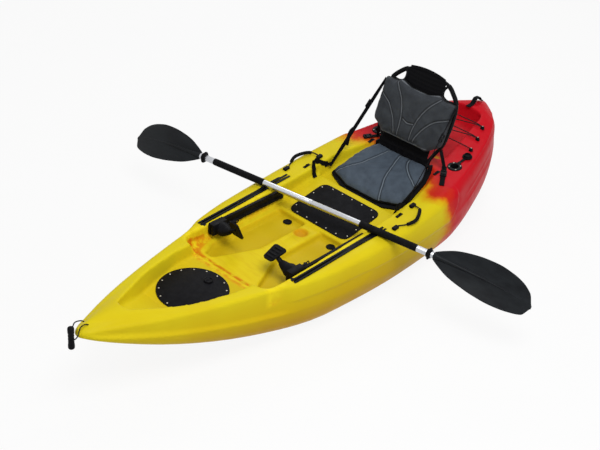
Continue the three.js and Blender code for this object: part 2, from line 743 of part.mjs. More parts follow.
// Rail of a foot brace: a grooved bar with lock notches below
const railWallY = wellHalfWidth - 2 * gap;
function footRail(side) {
  const rail = new THREE.BoxGeometry(railLength, railDepth, railHeight);
  rail.translate(railMidX, railWallY - railDepth / 2, railTopZ - railHeight / 2);
  let solid = toSolid(rail);
  const groove = new THREE.BoxGeometry(railLength + overrun, railGroove * 2, railGrooveHeight);
  groove.translate(railMidX, railWallY - railDepth, railTopZ - railHeight / 2);
  solid = solid.subtract(toSolid(groove));
  const notches = Math.floor((railLength - railNotchPitch) / railNotchPitch);
  for (let i = 0; i < notches; i++) {
    const x = railMidX + (i - (notches - 1) / 2) * railNotchPitch;
    const notch = new THREE.BoxGeometry(railNotchWidth, railDepth, railNotchDepth * 2);
    notch.translate(x, railWallY - railDepth - railDepth / 2 + railGroove * 2, railTopZ - railHeight);
    solid = solid.subtract(toSolid(notch));
  }
  return toGeometry(solid).scale(1, side, 1);
}

// Pedal: a carriage round the rail, a tapered arm and a ribbed foot pad
const carriageInnerY = railWallY - railDepth - gap;
const carriageTopZ = railTopZ + carriageOverlap;
const railMidZ = railTopZ - railHeight / 2;
const padAt = vec(pedalX + pedalPadAhead, carriageInnerY - pedalPadReach, railMidZ + pedalPadRise);
const leverPivot = { x: pedalX - carriageLength / 2 + leverPivotR, y: carriageInnerY - carriageDepth - gap, z: railMidZ };

function pedalPad(turn) {
  const [half, fore, aft] = [pedalPadLength / 2, pedalPadWidthFore / 2, pedalPadWidthAft / 2];
  const corners = mirrored([[half, fore, pedalPadCornerR], [-half, aft, pedalPadCornerR]]);
  let pad = toSolid(plate(outline(corners, 4), -pedalPadThickness / 2, pedalPadThickness));
  const ribs = 4;
  const ribRoomShare = 0.8;
  for (let i = 0; i < ribs; i++) {
    const rib = new THREE.BoxGeometry(pedalPadLength / (ribs * 3), pedalPadWidthFore * ribRoomShare, pedalPadRib * 2);
    rib.translate(((i + 0.5) / ribs - 0.5) * pedalPadLength * ribRoomShare, 0, pedalPadThickness / 2);
    pad = pad.add(toSolid(rib));
  }
  return toSolid(toGeometry(pad).rotateY(turn).translate(padAt.x, padAt.y, padAt.z));
}

function footPedal(side, turn) {
  const carriage = new THREE.BoxGeometry(carriageLength, carriageDepth, railHeight + carriageOverlap);
  carriage.translate(pedalX, carriageInnerY - carriageDepth / 2, carriageTopZ - (railHeight + carriageOverlap) / 2);
  const cheek = new THREE.BoxGeometry(carriageLength, railDepth, carriageOverlap - gap);
  cheek.translate(pedalX, carriageInnerY + railDepth / 2 - gap, carriageTopZ - (carriageOverlap - gap) / 2);
  const armRoot = vec(pedalX, carriageInnerY - carriageDepth / 2, railMidZ);
  const bendShare = 0.55;
  const armSides = 10;
  const rings = [0, bendShare, 1].map((t) => {
    const radius = THREE.MathUtils.lerp(pedalArmFootR, pedalArmTipR, t);
    const [x, y] = [THREE.MathUtils.lerp(armRoot.x, padAt.x, t), THREE.MathUtils.lerp(armRoot.y, padAt.y, t)];
    const z = THREE.MathUtils.lerp(armRoot.z, padAt.z, t * t);
    const turns = Array.from({ length: armSides }, (_, i) => (2 * Math.PI * i) / armSides);
    return turns.map((a) => vec(x + radius * Math.cos(a), y, z + radius * Math.sin(a)));
  });
  const arm = toSolid(loft(rings, ["x", "z"]));
  return toGeometry(union(toSolid(carriage), toSolid(cheek), arm, pedalPad(turn))).scale(1, side, 1);
}

// Lock lever behind the carriage, on a pin
function lockLever(side) {
  const grip = new THREE.BoxGeometry(leverLength, leverThickness, leverWidth);
  grip.translate(-leverLength / 2, -leverThickness / 2, 0);
  const knob = drum(leverPivotR * 1.6, leverWidth, -leverWidth / 2, 16).translate(-leverLength, -leverThickness / 2, 0);
  const hub = drum(leverPivotR, leverWidth, -leverWidth / 2, 16).translate(0, -leverPivotR, 0);
  const whole = toGeometry(union(toSolid(grip), toSolid(knob), toSolid(hub)));
  return whole.translate(leverPivot.x, leverPivot.y, leverPivot.z).scale(1, side, 1);
}

// Scupper plug: a flange and a ribbed stem
const heelFloorZ = wellFloorZ - heelDepth;
const plugProfile = [
  [0, -plugStem], [scupperR - plugWaist * 2, -plugStem], [scupperR - gap, -plugStem * 0.7],
  [scupperR - plugWaist, -plugStem * 0.6], [scupperR - gap, -plugStem * 0.3], [scupperR - plugWaist, gap],
  [plugFlangeR, gap], [plugFlangeR, plugFlangeHeight * 0.7], [plugFlangeR * 0.85, plugFlangeHeight],
  [plugFlangeR * 0.4, plugFlangeHeight], [0, plugFlangeHeight * 0.8],
];

// Rod holder: a flange on the deck and a tube below it, and its cap lying open on its strap
const flangeUnder = 2 * gap;
const holderProfile = [
  [holderBoreR, -holderDepth + holderWall], [0, -holderDepth + holderWall], [0, -holderDepth],
  [holderBoreR + holderWall, -holderDepth], [holderBoreR + holderWall, flangeUnder],
  [holderFlangeR, flangeUnder], [holderFlangeR, holderFlangeHeight * 0.6], [holderFlangeR * 0.9, holderFlangeHeight],
  [holderBoreR, holderFlangeHeight],
];
const capHingeX = -capReach / 2;
const capLift = 1.6;
const capHingeZ = holderFlangeHeight + capHeight * 0.45;
function rodHolder(side) {
  const tube = toSolid(revolve([...holderProfile, holderProfile[0]], 24));
  const tabFrom = capHingeX + gap * 2;
  const tab = new THREE.BoxGeometry(-holderFlangeR * 0.8 - tabFrom, capStrapWidth, holderFlangeHeight * 0.9);
  tab.translate((tabFrom - holderFlangeR * 0.8) / 2, 0, capLift + holderFlangeHeight * 0.45);
  return inHolder(toGeometry(tube.add(toSolid(tab))), side);
}

// The cap lies open behind the holder, its plug up; half a turn about the strap closes it
function rodCap(side) {
  const profile = [
    [0, 0], [capR, 0], [capR, capHeight * 0.8], [capPlugR, capHeight * 0.8],
    [capPlugR, capHeight * 0.8 + capPlugDepth], [0, capHeight * 0.8 + capPlugDepth],
  ];
  const strapTo = capHingeX - gap * 4;
  const strapFrom = -capReach + capR * 0.7;
  const strap = new THREE.BoxGeometry(strapTo - strapFrom, capStrapWidth, capStrapThickness);
  strap.translate((strapTo + strapFrom) / 2, 0, capLift + capStrapThickness / 2);
  const cap = toSolid(revolve(profile, 24).translate(-capReach, 0, capLift));
  return inHolder(toGeometry(cap.add(toSolid(strap))), side);
}

// Carry handle: anchors at both ends, a cord between them and a rubber grip on it
const handleZ = (x) => gunwaleAt(x) + handleClear;
function handlePath(side) {
  const start = vec(handleFrontX - anchorLength / 2 - handleFrontClear, side * handleFrontY, handleZ(handleFrontX));
  const end = vec(handleRearX, side * (handleRearY + anchorWidth / 2 + handleRearClear), handleZ(handleRearX));
  const run = start.x - end.x;
  const spots = [
    start,
    vec(start.x - run * 0.22, side * (handleFrontY + (handleBulge * 11) / 18), handleZ(start.x) + 1),
    vec(start.x - run * 0.5, side * (handleFrontY + handleBulge), handleZ(start.x - run * 0.5) + 1),
    vec(start.x - run * 0.82, side * (handleFrontY + (handleBulge * 7) / 18), handleZ(end.x) + 1),
    vec(end.x + 2, side * (handleRearY + handleRearBulge), handleZ(end.x)),
    end,
  ];
  return new THREE.CatmullRomCurve3(spots);
}
const handleStretch = (side, from, to, count) => {
  const path = handlePath(side);
  return Array.from({ length: count }, (_, i) => path.getPointAt(from + ((to - from) * i) / (count - 1)));
};

function anchor(x, y, length, width) {
  return onDeck(new THREE.BoxGeometry(length, width, anchorHeight).translate(0, 0, anchorHeight / 2), x, y);
}

for (const side of [1, -1]) {
  const hand = side > 0 ? "port" : "starboard";
  add("gear_track_" + hand, gearTrack(side), blackAnodised);
  add("foot_rail_" + hand, outward(footRail(side)), blackPlastic);
  add("foot_pedal_" + hand, outward(footPedal(side, pedalPadTurn[hand])), blackPlastic);
  add("pedal_lock_lever_" + hand, outward(lockLever(side)), blackPlastic);
  const plug = revolve(plugProfile, 16).translate(scupperX, side * scupperY, heelFloorZ);
  add("scupper_plug_" + hand, plug, blackRubber);
  add("rod_holder_" + hand, rodHolder(side), blackPlastic);
  add("rod_holder_cap_" + hand, rodCap(side), blackRubber);
}


// Bow toggle: a moulded bar on a cord that runs through it
function toggleBar() {
  const profile = [
    [0, 0], [toggleR * 0.8, 0], [toggleR, toggleR * 0.25], [toggleWaistR, toggleLength * 0.3],
    [toggleWaistR, toggleLength * 0.7], [toggleR, toggleLength - toggleR * 0.25], [toggleR * 0.8, toggleLength], [0, toggleLength],
  ];
  const bore = new THREE.CylinderGeometry(toggleCordR * 1.3, toggleCordR * 1.3, toggleR * 4, 12).translate(0, 0, toggleLength / 2);
  const solid = toSolid(revolve(profile, 20)).subtract(toSolid(bore));
  return toGeometry(solid).translate(toggleX, 0, toggleTopZ - toggleLength);
}
function toggleCord() {
  const footX = halfLength - 48;
  const footY = 13;
  const bendY = toggleR + toggleCordR * 2.6;
  const deckZ = deckAt(footX, footY) + gap;
  const midZ = toggleTopZ - toggleLength / 2;
  const half = [
    vec(footX, footY, deckZ + toggleCordR * 1.2), vec(footX + 14, footY + 2, deckZ + 13), vec(footX + 40, footY + 6, deckZ + 15),
    vec(toggleX - 16, bendY, midZ + 9), vec(toggleX - 3, bendY - 1, midZ + 1), vec(toggleX, toggleR * 0.7, midZ),
  ];
  const other = half.map((p) => vec(p.x, -p.y, p.z)).reverse();
  return bar([...half, vec(toggleX, 0, midZ), ...other], toggleCordR, 6, 36);
}
add("bow_toggle_bar", toggleBar(), blackPlastic);
add("bow_toggle_cord", toggleCord(), blackWebbing);

// A flat band along points, each with the direction of its width
function band(points, width, thickness) {
  const rings = points.map(({ at, across }, i) => {
    const before = points[Math.max(0, i - 1)].at;
    const after = points[Math.min(points.length - 1, i + 1)].at;
    const run = after.clone().sub(before).normalize();
    const side = across.clone().addScaledVector(run, -across.dot(run)).normalize();
    const up = run.clone().cross(side).normalize();
    const corner = (a, b) => at.clone().addScaledVector(side, (a * width) / 2).addScaledVector(up, (b * thickness) / 2);
    return [corner(-1, -1), corner(1, -1), corner(1, 1), corner(-1, 1)];
  });
  const index = [0, 2, 1, 0, 3, 2];
  for (let r = 0; r + 1 < rings.length; r++) {
    for (let i = 0; i < 4; i++) {
      const [a, b] = [r * 4 + i, r * 4 + ((i + 1) % 4)];
      index.push(a, b, b + 4, a, b + 4, a + 4);
    }
  }
  const end = (rings.length - 1) * 4;
  index.push(end, end + 1, end + 2, end, end + 2, end + 3);
  const geometry = new THREE.BufferGeometry();
  geometry.setAttribute("position", new THREE.Float32BufferAttribute(rings.flat().flatMap((p) => [p.x, p.y, p.z]), 3));
  geometry.setIndex(index);
  return outward(geometry);
}

// Stern handle: a webbing grab along the centreline
function sternHandle() {
  const across = vec(0, 1, 0);
  const half = sternHandleLength / 2;
  const lift = sternHandleThickness / 2 + deckClear;
  const spot = (share, rise) => {
    const x = sternHandleX + share * half;
    return { at: vec(x, 0, deckAt(x, 0) + lift + rise), across };
  };
  const footShare = 1 - sternHandleFoot / half;
  const points = [
    spot(-1, 0), spot(-footShare, 0), spot(-footShare * 0.7, sternHandleRise * 0.7), spot(0, sternHandleRise),
    spot(footShare * 0.7, sternHandleRise * 0.7), spot(footShare, 0), spot(1, 0),
  ];
  return band(points, sternHandleWidth, sternHandleThickness);
}
add("stern_handle", sternHandle(), blackWebbing);

// Bungee in zigzag over the tank well, with a clip at each bend
function bungee() {
  const clips = bungeeEyeXs.map((x) => ({ x, y: deckHalfAt(x) - bungeeEyeInset }));
  const spots = [];
  clips.forEach((clip) => spots.push([clip.x, clip.y], [clip.x, -clip.y]));
  const rimShare = 0.62;
  const runSteps = 8;
  const solids = [];
  for (let i = 0; i + 1 < spots.length; i++) {
    const points = [];
    for (let k = 0; k <= runSteps; k++) {
      const x = THREE.MathUtils.lerp(spots[i][0], spots[i + 1][0], k / runSteps);
      const y = THREE.MathUtils.lerp(spots[i][1], spots[i + 1][1], k / runSteps);
      const overWell = Math.max(Math.abs(y), deckHalfAt(x) * rimShare);
      points.push(vec(x, y, deckAt(x, overWell) + bungeeLift));
    }
    solids.push(toSolid(bar(points, bungeeR, 6, 8)));
  }
  for (const [x, y] of spots) {
    const clip = new THREE.BoxGeometry(bungeeEyeR * 2, bungeeEyeR * 2.4, bungeeEyeHeight);
    solids.push(toSolid(clip.translate(x, y, deckAt(x, y) + bungeeEyeHeight / 2 + bungeeEyeClear)));
  }
  return union(...solids);
}
add("tankwell_bungee", bungee(), blackWebbing);

// The seat's own frame: x along its slope from the front edge, z square to it
const seatTilt = Math.atan(seatSlope);
const onSeat = (geometry) => geometry.rotateY(seatTilt).translate(seatFrontX, 0, seatFrontZ);
const backHingeZ = seatFloorAt(backHingeX) + backHingeLift;

// The back's own frame: x out to port, y up along the frame, z to the front
const backBasis = new THREE.Matrix4().makeBasis(vec(0, 1, 0), vec(0, 0, 1), vec(1, 0, 0));
const onBack = (geometry) => geometry.applyMatrix4(backBasis).rotateY(-backLean).translate(backHingeX, 0, backHingeZ);
const backPoint = (out, up, front) =>
  vec(front, out, up).applyAxisAngle(vec(0, 1, 0), -backLean).add(vec(backHingeX, 0, backHingeZ));

// A cushion over an outline: rounded edges, and a crown in the middle
function cushion(corners, base, thicknessAt, crown) {
  const reachX = Math.max(...corners.map((c) => Math.abs(c[0])));
  const reachY = Math.max(...corners.map((c) => Math.abs(c[1])));
  const midX = (Math.min(...corners.map((c) => c[0])) + Math.max(...corners.map((c) => c[0]))) / 2;
  const midY = (Math.min(...corners.map((c) => c[1])) + Math.max(...corners.map((c) => c[1]))) / 2;
  const full = outline(corners, 5);
  const spread = Math.min(reachX, reachY);
  const ring = (inset, share, extra) =>
    full.map((p) => {
      const k = 1 - inset / spread;
      const [x, y] = [midX + (p.x - midX) * k, midY + (p.y - midY) * k];
      return vec(x, y, base + thicknessAt(x, y) * share + extra);
    });
  const rings = [
    ring(4, 0, 0), ring(0, 0.2, 0), ring(0, 0.6, 0), ring(3, 0.85, 0), ring(11, 1, 0),
    ring(34, 1, crown * 0.6), ring(70, 1, crown),
  ];
  return loft(rings);
}

const hingeAlongY = (radius, length, y) => new THREE.CylinderGeometry(radius, radius, length, 16).translate(backHingeX, y, backHingeZ);

function seatBoard() {
  let solid = toSolid(onSeat(plate(outline(mirrored(seatBoardShape), 5), gap, seatBoardThickness)));
  const pinHole = toSolid(hingeAlongY(hingePinR + gap, hingeEarY * 3, 0));
  for (const side of [1, -1]) {
    const earTop = backHingeZ + hingeBarrelR + gap;
    const earFoot = seatFloorAt(backHingeX) + seatBoardThickness / 2;
    const ear = new THREE.BoxGeometry(hingeEarLength, hingeEarWidth, earTop - earFoot);
    ear.translate(backHingeX, side * hingeEarY, (earTop + earFoot) / 2);
    solid = solid.add(toSolid(ear));
  }
  return solid.subtract(pinHole);
}
add("seat_board", seatBoard(), blackPlastic);
const padBase = gap + seatBoardThickness + gap;
add("seat_pad", onSeat(cushion(mirrored(seatPadShape), padBase, () => seatPadThickness, seatPadCrown)), greyCloth);

function backFrame() {
  const half = backTubeLine.map(([out, up]) => vec(out, up, 0));
  const other = half.map((p) => vec(-p.x, p.y, 0)).reverse();
  let solid = toSolid(onBack(bar([...half, ...other], backTubeR, 8, 42)));
  for (const side of [1, -1]) solid = solid.add(toSolid(hingeAlongY(hingeBarrelR, hingeBarrelLength, side * hingeBarrelY)));
  return solid.subtract(toSolid(hingeAlongY(hingePinR + gap, hingeEarY * 3, 0)));
}
add("backrest_frame", backFrame(), blackAnodised);
add("backrest_pin", hingeAlongY(hingePinR, hingeEarY * 2 + hingeEarWidth + gap * 4, 0), alloy);
const meshFront = backTubeR + gap;
add("backrest_mesh", onBack(plate(outline(mirroredOut(backMeshShape), 5), meshFront, meshThickness)), meshCloth);
const backPadLowUp = Math.min(...backPadShape.map((c) => c[1]));
const backPadHighUp = Math.max(...backPadShape.map((c) => c[1]));
const backPadThicknessAt = (x, y) =>
  THREE.MathUtils.mapLinear(y, backPadLowUp, backPadHighUp, backPadThicknessLow, backPadThicknessHigh);
const padBack = meshFront + meshThickness + gap;
add("backrest_pad", onBack(cushion(mirroredOut(backPadShape), padBack, backPadThicknessAt, backPadCrown)), darkCloth);

// Deck eye: a plate with a wire loop on it
function eyeShape() {
  const base = new THREE.BoxGeometry(eyeLength, eyeWidth, eyeBaseHeight).translate(0, 0, eyeBaseHeight / 2);
  const arc = Array.from({ length: 7 }, (_, i) => {
    const a = (Math.PI * i) / 6;
    return vec(eyeLoopR * Math.cos(a), 0, eyeBaseHeight * 0.6 + eyeLoopR * Math.sin(a));
  });
  return toGeometry(toSolid(base).add(toSolid(bar(arc, eyeWireR, 6, 8))));
}
const deckEye = (x, y) => onDeck(eyeShape(), x, y);

// The grip is a sleeve on the middle of its cord
function handleGrip(side) {
  const ring = new THREE.Shape();
  ring.absarc(0, 0, handleGripR, 0, 2 * Math.PI, false);
  const bore = new THREE.Path();
  bore.absarc(0, 0, handleCordR + handleCordSlack, 0, 2 * Math.PI, true);
  ring.holes.push(bore);
  const path = new THREE.CatmullRomCurve3(handleStretch(side, gripFromShare, gripToShare, 30));
  return new THREE.ExtrudeGeometry(ring, { steps: 13, extrudePath: path, bevelEnabled: false, curveSegments: 6 });
}

function buckle(at, run, across) {
  const body = new THREE.BoxGeometry(buckleLength, buckleWidth, buckleThickness);
  const slot = new THREE.BoxGeometry(buckleLength * 0.16, buckleWidth * 0.72, buckleThickness * 3);
  let solid = toSolid(body);
  for (const share of [-0.28, 0.28]) solid = solid.subtract(toSolid(slot.clone().translate(share * buckleLength, 0, 0)));
  const x = run.clone().normalize();
  const y = across.clone().addScaledVector(x, -across.dot(x)).normalize();
  const z = x.clone().cross(y);
  const lift = strapThickness / 2 + buckleThickness / 2 + gap;
  const place = new THREE.Matrix4().makeBasis(x, y, z).setPosition(at.clone().addScaledVector(z, lift));
  return toGeometry(solid).applyMatrix4(place);
}

for (const side of [1, -1]) {
  const hand = side > 0 ? "port" : "starboard";
  const outboard = vec(0, side, 0);

  const frontFoot = vec(frontStrapFoot[0], side * frontStrapFoot[1], frontStrapFootZ);
  const frontTop = backPoint(side * frontStrapTop[0], frontStrapTop[1], padBack + backPadThicknessHigh / 2);
  const frontRun = frontTop.clone().sub(frontFoot);
  const frontAcross = vec(side * frontRun.z, 0, -side * frontRun.x).normalize();
  const frontEnds = [frontFoot, frontTop].map((at) => ({ at, across: frontAcross }));
  add("seat_strap_front_" + hand, band(frontEnds, strapWidth, strapThickness), blackWebbing);
  const frontSpot = frontFoot.clone().addScaledVector(frontRun, frontBuckleShare);
  add("strap_buckle_front_" + hand, buckle(frontSpot, frontRun, frontAcross), blackPlastic);

  const rearTop = backPoint(side * rearStrapTop[0], rearStrapTop[1], 0);
  const strapLift = strapThickness + plugWaist;
  const rearFoot = vec(rearStrapFoot[0], side * rearStrapFoot[1], gunwaleAt(rearStrapFoot[0]) + strapLift);
  const rearTail = vec(rearStrapTail[0], side * rearStrapTail[1], gunwaleAt(rearStrapTail[0]) + strapLift);
  const tailRun = rearTail.clone().sub(rearFoot);
  const tailAcross = vec(-tailRun.y, tailRun.x, 0).normalize();
  const rearTurn = rearFoot.clone().addScaledVector(tailRun.clone().normalize(), -strapWidth / 2);
  const rearRise = [rearTop, rearFoot].map((at) => ({ at, across: vec(1, 0, 0) }));
  const rearLay = [rearTurn, rearTail].map((at) => ({ at, across: tailAcross }));
  const rearBands = [rearRise, rearLay].map((points) => toSolid(band(points, strapWidth, strapThickness)));
  add("seat_strap_rear_" + hand, union(...rearBands), blackWebbing);
  const rearSpot = rearFoot.clone().lerp(rearTail, rearBuckleShare);
  add("strap_buckle_rear_" + hand, buckle(rearSpot, tailRun, tailAcross), blackPlastic);

  // The front eye is on the wall beside the seat, the others on the deck
  add("seat_eye_front_" + hand, onSeatWall(eyeShape(), side), blackPlastic);
  add("seat_eye_rear_" + hand, deckEye(rearEye[0], side * rearEye[1]), blackPlastic);
  add("deck_eye_" + hand, deckEye(midEye[0], side * midEye[1]), blackPlastic);

  add("carry_handle_cord_" + hand, bar(handleStretch(side, 0, 1, 40), handleCordR, 6, 22), blackWebbing);
  add("carry_handle_grip_" + hand, handleGrip(side), blackRubber);
  add("carry_handle_anchor_front_" + hand, anchor(handleFrontX, side * handleFrontY, anchorLength, anchorWidth), blackPlastic);
  add("carry_handle_anchor_rear_" + hand, anchor(handleRearX, side * handleRearY, anchorLength, anchorWidth), blackPlastic);
}

// Paddle, built along y and laid across the gear tracks
const trackTopAt = (x) => {
  const [rearX, frontX] = [trackMidX - trackLength / 2, trackMidX + trackLength / 2];
  return THREE.MathUtils.mapLinear(x, rearX, frontX, gunwaleAt(rearX), gunwaleAt(frontX)) + trackProud;
};
const restX = paddleX - (trackMidY - paddleY) * Math.tan(paddleAngle);
const paddleZ = trackTopAt(restX) + shaftR + gripWall + gap * 3;
const onPaddle = (geometry) => geometry.rotateZ(paddleAngle).translate(paddleX, paddleY, paddleZ);
const sleeve = (inner, outer, from, to, sides = 24) => {
  const profile = [[inner, from], [outer, from], [outer, to], [inner, to], [inner, from]];
  return new THREE.LatheGeometry(profile.map(([x, y]) => new THREE.Vector2(x, y)), sides);
};

const bladeAt = (t) => shaftHalf + gap + (bladeTip - shaftHalf) * t;
const bladeMiddle = (t) => (bladeWidth / 2) * along(bladeMiddleShares, t);
const bladeFall = (t) => -bladeCrank * t - bladeSpoon * t * t;
function blade() {
  const rowShares = [0, 0.05, 0.11, 0.2, 0.31, 0.44, 0.58, 0.71, 0.82, 0.9, 0.955, 0.985, 1];
  const acrossShares = [-1, -0.75, -0.4, 0, 0.4, 0.75, 1];
  const edgeShare = 0.3;
  const rows = rowShares.map((t) => {
    const half = (bladeWidth / 2) * along(bladeWidthShares, t);
    const ring = (lift) => acrossShares.map((k) => {
      const thin = 1 - (1 - edgeShare) * k ** 4;
      const dish = 4 * bladeDish * k * k * t * (1 - t);
      return vec(bladeMiddle(t) + k * half, bladeAt(t), bladeFall(t) + dish + (lift * thin * bladeThickness) / 2);
    });
    return [...ring(1), ...ring(-1).reverse()];
  });
  const sheet = toSolid(loft(rows, ["x", "z"]));
  const ribEnd = 0.9;
  const ribSides = 10;
  const ribTipShare = 0.16;
  const spine = [0, 0.12, 0.3, 0.55, 0.75, ribEnd].map((t) => {
    const radius = shaftR * (1 - (1 - ribTipShare) * (t / ribEnd) ** 0.6);
    const turns = Array.from({ length: ribSides }, (_, i) => (2 * Math.PI * i) / ribSides);
    return turns.map((a) => vec(bladeMiddle(t) + radius * Math.cos(a), bladeAt(t), bladeFall(t) + radius * Math.sin(a)));
  });
  const neckR = shaftR - shaftWall - gap;
  const neck = new THREE.CylinderGeometry(neckR, neckR, bladeNeck + shaftR, 20);
  neck.translate(0, shaftHalf - bladeNeck / 2 + shaftR / 2, 0);
  return toGeometry(union(sheet, toSolid(loft(spine, ["x", "z"])), toSolid(neck))).rotateY(bladeTurn);
}

for (const side of [1, -1]) {
  const hand = side > 0 ? "port" : "starboard";
  const mirror = (geometry) => onPaddle(outward(geometry.scale(1, side, 1)));
  const shaftFrom = ferruleCollarHalf + gap;
  add("paddle_shaft_" + hand, mirror(sleeve(shaftR - shaftWall, shaftR, shaftFrom, shaftHalf)), alloy);
  add("paddle_grip_" + hand, mirror(sleeve(shaftR + gap, shaftR + gripWall, gripStart, gripEnd)), blackRubber);
  const ringProfile = [
    [shaftR + gap, -ringHalf], [shaftR * 1.3, -ringHalf], [ringR * 0.8, -ringHalf * 0.3], [ringR, 0],
    [ringR * 0.8, ringHalf * 0.3], [shaftR * 1.3, ringHalf], [shaftR + gap, ringHalf], [shaftR + gap, -ringHalf],
  ];
  const ring = new THREE.LatheGeometry(ringProfile.map(([x, y]) => new THREE.Vector2(x, y)), 22).translate(0, ringAt, 0);
  add("paddle_drip_ring_" + hand, mirror(ring), blackRubber);
  add("paddle_blade_" + hand, mirror(blade()), bladeNylon);
}
const ferruleR = shaftR - shaftWall - gap;
const ferrule = toSolid(new THREE.CylinderGeometry(ferruleR, ferruleR, ferruleHalf * 2, 24)).add(
  toSolid(new THREE.CylinderGeometry(ferruleCollarR, ferruleCollarR, ferruleCollarHalf * 2, 24)),
);
add("paddle_ferrule", onPaddle(toGeometry(ferrule)), blackPlastic);

export default kayak;
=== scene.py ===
import json
import math

import bmesh
import bpy
import numpy as np
from mathutils import Matrix, Vector
from mathutils.bvhtree import BVHTree


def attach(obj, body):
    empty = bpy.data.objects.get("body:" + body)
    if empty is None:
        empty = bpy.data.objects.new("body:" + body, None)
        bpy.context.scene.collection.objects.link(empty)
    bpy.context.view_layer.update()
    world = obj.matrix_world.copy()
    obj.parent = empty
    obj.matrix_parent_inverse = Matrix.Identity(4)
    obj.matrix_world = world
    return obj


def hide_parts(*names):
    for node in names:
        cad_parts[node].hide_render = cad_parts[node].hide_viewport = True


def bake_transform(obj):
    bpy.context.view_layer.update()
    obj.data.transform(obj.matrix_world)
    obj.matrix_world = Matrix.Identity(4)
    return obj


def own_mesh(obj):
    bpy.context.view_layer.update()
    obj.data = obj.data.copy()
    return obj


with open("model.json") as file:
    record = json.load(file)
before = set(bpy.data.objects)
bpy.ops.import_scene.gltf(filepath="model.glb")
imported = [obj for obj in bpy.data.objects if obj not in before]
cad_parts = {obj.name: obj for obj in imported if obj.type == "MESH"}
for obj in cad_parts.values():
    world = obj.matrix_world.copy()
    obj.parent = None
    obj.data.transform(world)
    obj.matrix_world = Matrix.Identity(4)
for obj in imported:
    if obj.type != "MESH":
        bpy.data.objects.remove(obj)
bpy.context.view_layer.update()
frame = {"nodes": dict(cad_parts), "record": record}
cad_nodes = frame["nodes"]
body_of = {name: body for body, names in frame["record"]["behaviour"]["bodies"].items() for name in names}
SIDES = {"port": 1, "starboard": -1}
MM = 0.001
Z_UP = np.array([0.0, 0.0, 1.0])
PORT = np.array([0.0, 1.0, 0.0])
FORWARD = np.array([1.0, 0.0, 0.0])

# Lengths are metres in the row frame, x forward, y to port and z up, unless a name ends in mm


# ---------------------------------------------------------------- camera and lamps

CAMERA_AT = (3.356, 2.710, 3.098)
CAMERA_FORWARD = (-0.6425, -0.5335, -0.5500)
CAMERA_ROLL = math.radians(5.44)
CAMERA_LENS_MM = 65.74
SENSOR_MM = 36
CLIP_END = 60
LAMP_WIDTH = 2.0


def show(obj):
    """Puts an object in the scene."""
    bpy.context.scene.collection.objects.link(obj)
    return obj


def aim(place, forward, roll=0.0):
    """Matrix of a camera or lamp at a place that looks along forward, turned by roll about its own line of sight."""
    turn = Vector(forward).to_track_quat("-Z", "Y").to_matrix().to_4x4()
    return Matrix.Translation(place) @ turn @ Matrix.Rotation(roll, 4, "Z")


def photo_camera():
    camera = show(bpy.data.objects.new("camera", bpy.data.cameras.new("camera")))
    camera.data.lens = CAMERA_LENS_MM
    camera.data.sensor_width = SENSOR_MM
    camera.data.clip_end = CLIP_END
    camera.matrix_world = aim(CAMERA_AT, CAMERA_FORWARD, CAMERA_ROLL)
    bpy.context.scene.camera = camera
    bpy.context.scene.view_settings.view_transform = "Standard"


def soft_lamp(name, place, look_at, power):
    """A square lamp that faces a point."""
    data = bpy.data.lights.new(name, "AREA")
    data.shape = "SQUARE"
    data.size = LAMP_WIDTH
    data.energy = power
    lamp = show(bpy.data.objects.new(name, data))
    lamp.matrix_world = aim(place, Vector(look_at) - Vector(place))


photo_camera()
soft_lamp("key_lamp", (1.2, 1.6, 4.4), (-0.1, 0.0, 0.2), 118)
soft_lamp("side_lamp", (0.6, 4.6, 2.2), (0.0, 0.0, 0.2), 30)
soft_lamp("back_lamp", (-3.0, -1.8, 3.6), (-0.3, 0.0, 0.3), 40)


# ---------------------------------------------------------------- node trees

def linear(code):
    """A colour written as sRGB hex, as the linear numbers that a shader takes."""
    c = np.array([int(code[i:i + 2], 16) for i in (0, 2, 4)]) / 255
    c = np.where(c <= 0.04045, c / 12.92, ((c + 0.055) / 1.055) ** 2.4)
    return (*c.tolist(), 1.0)


def put(tree, kind, inputs=None, **fields):
    """Adds a node: fields are its settings, and inputs hold a value, another node's output or a hex colour, by socket
    name or number."""
    new = tree.nodes.new(kind)
    for field, value in fields.items():
        setattr(new, field, value)
    for key, value in (inputs or {}).items():
        if isinstance(value, bpy.types.NodeSocket):
            tree.links.new(value, new.inputs[key])
        else:
            new.inputs[key].default_value = linear(value) if isinstance(value, str) else value
    return new


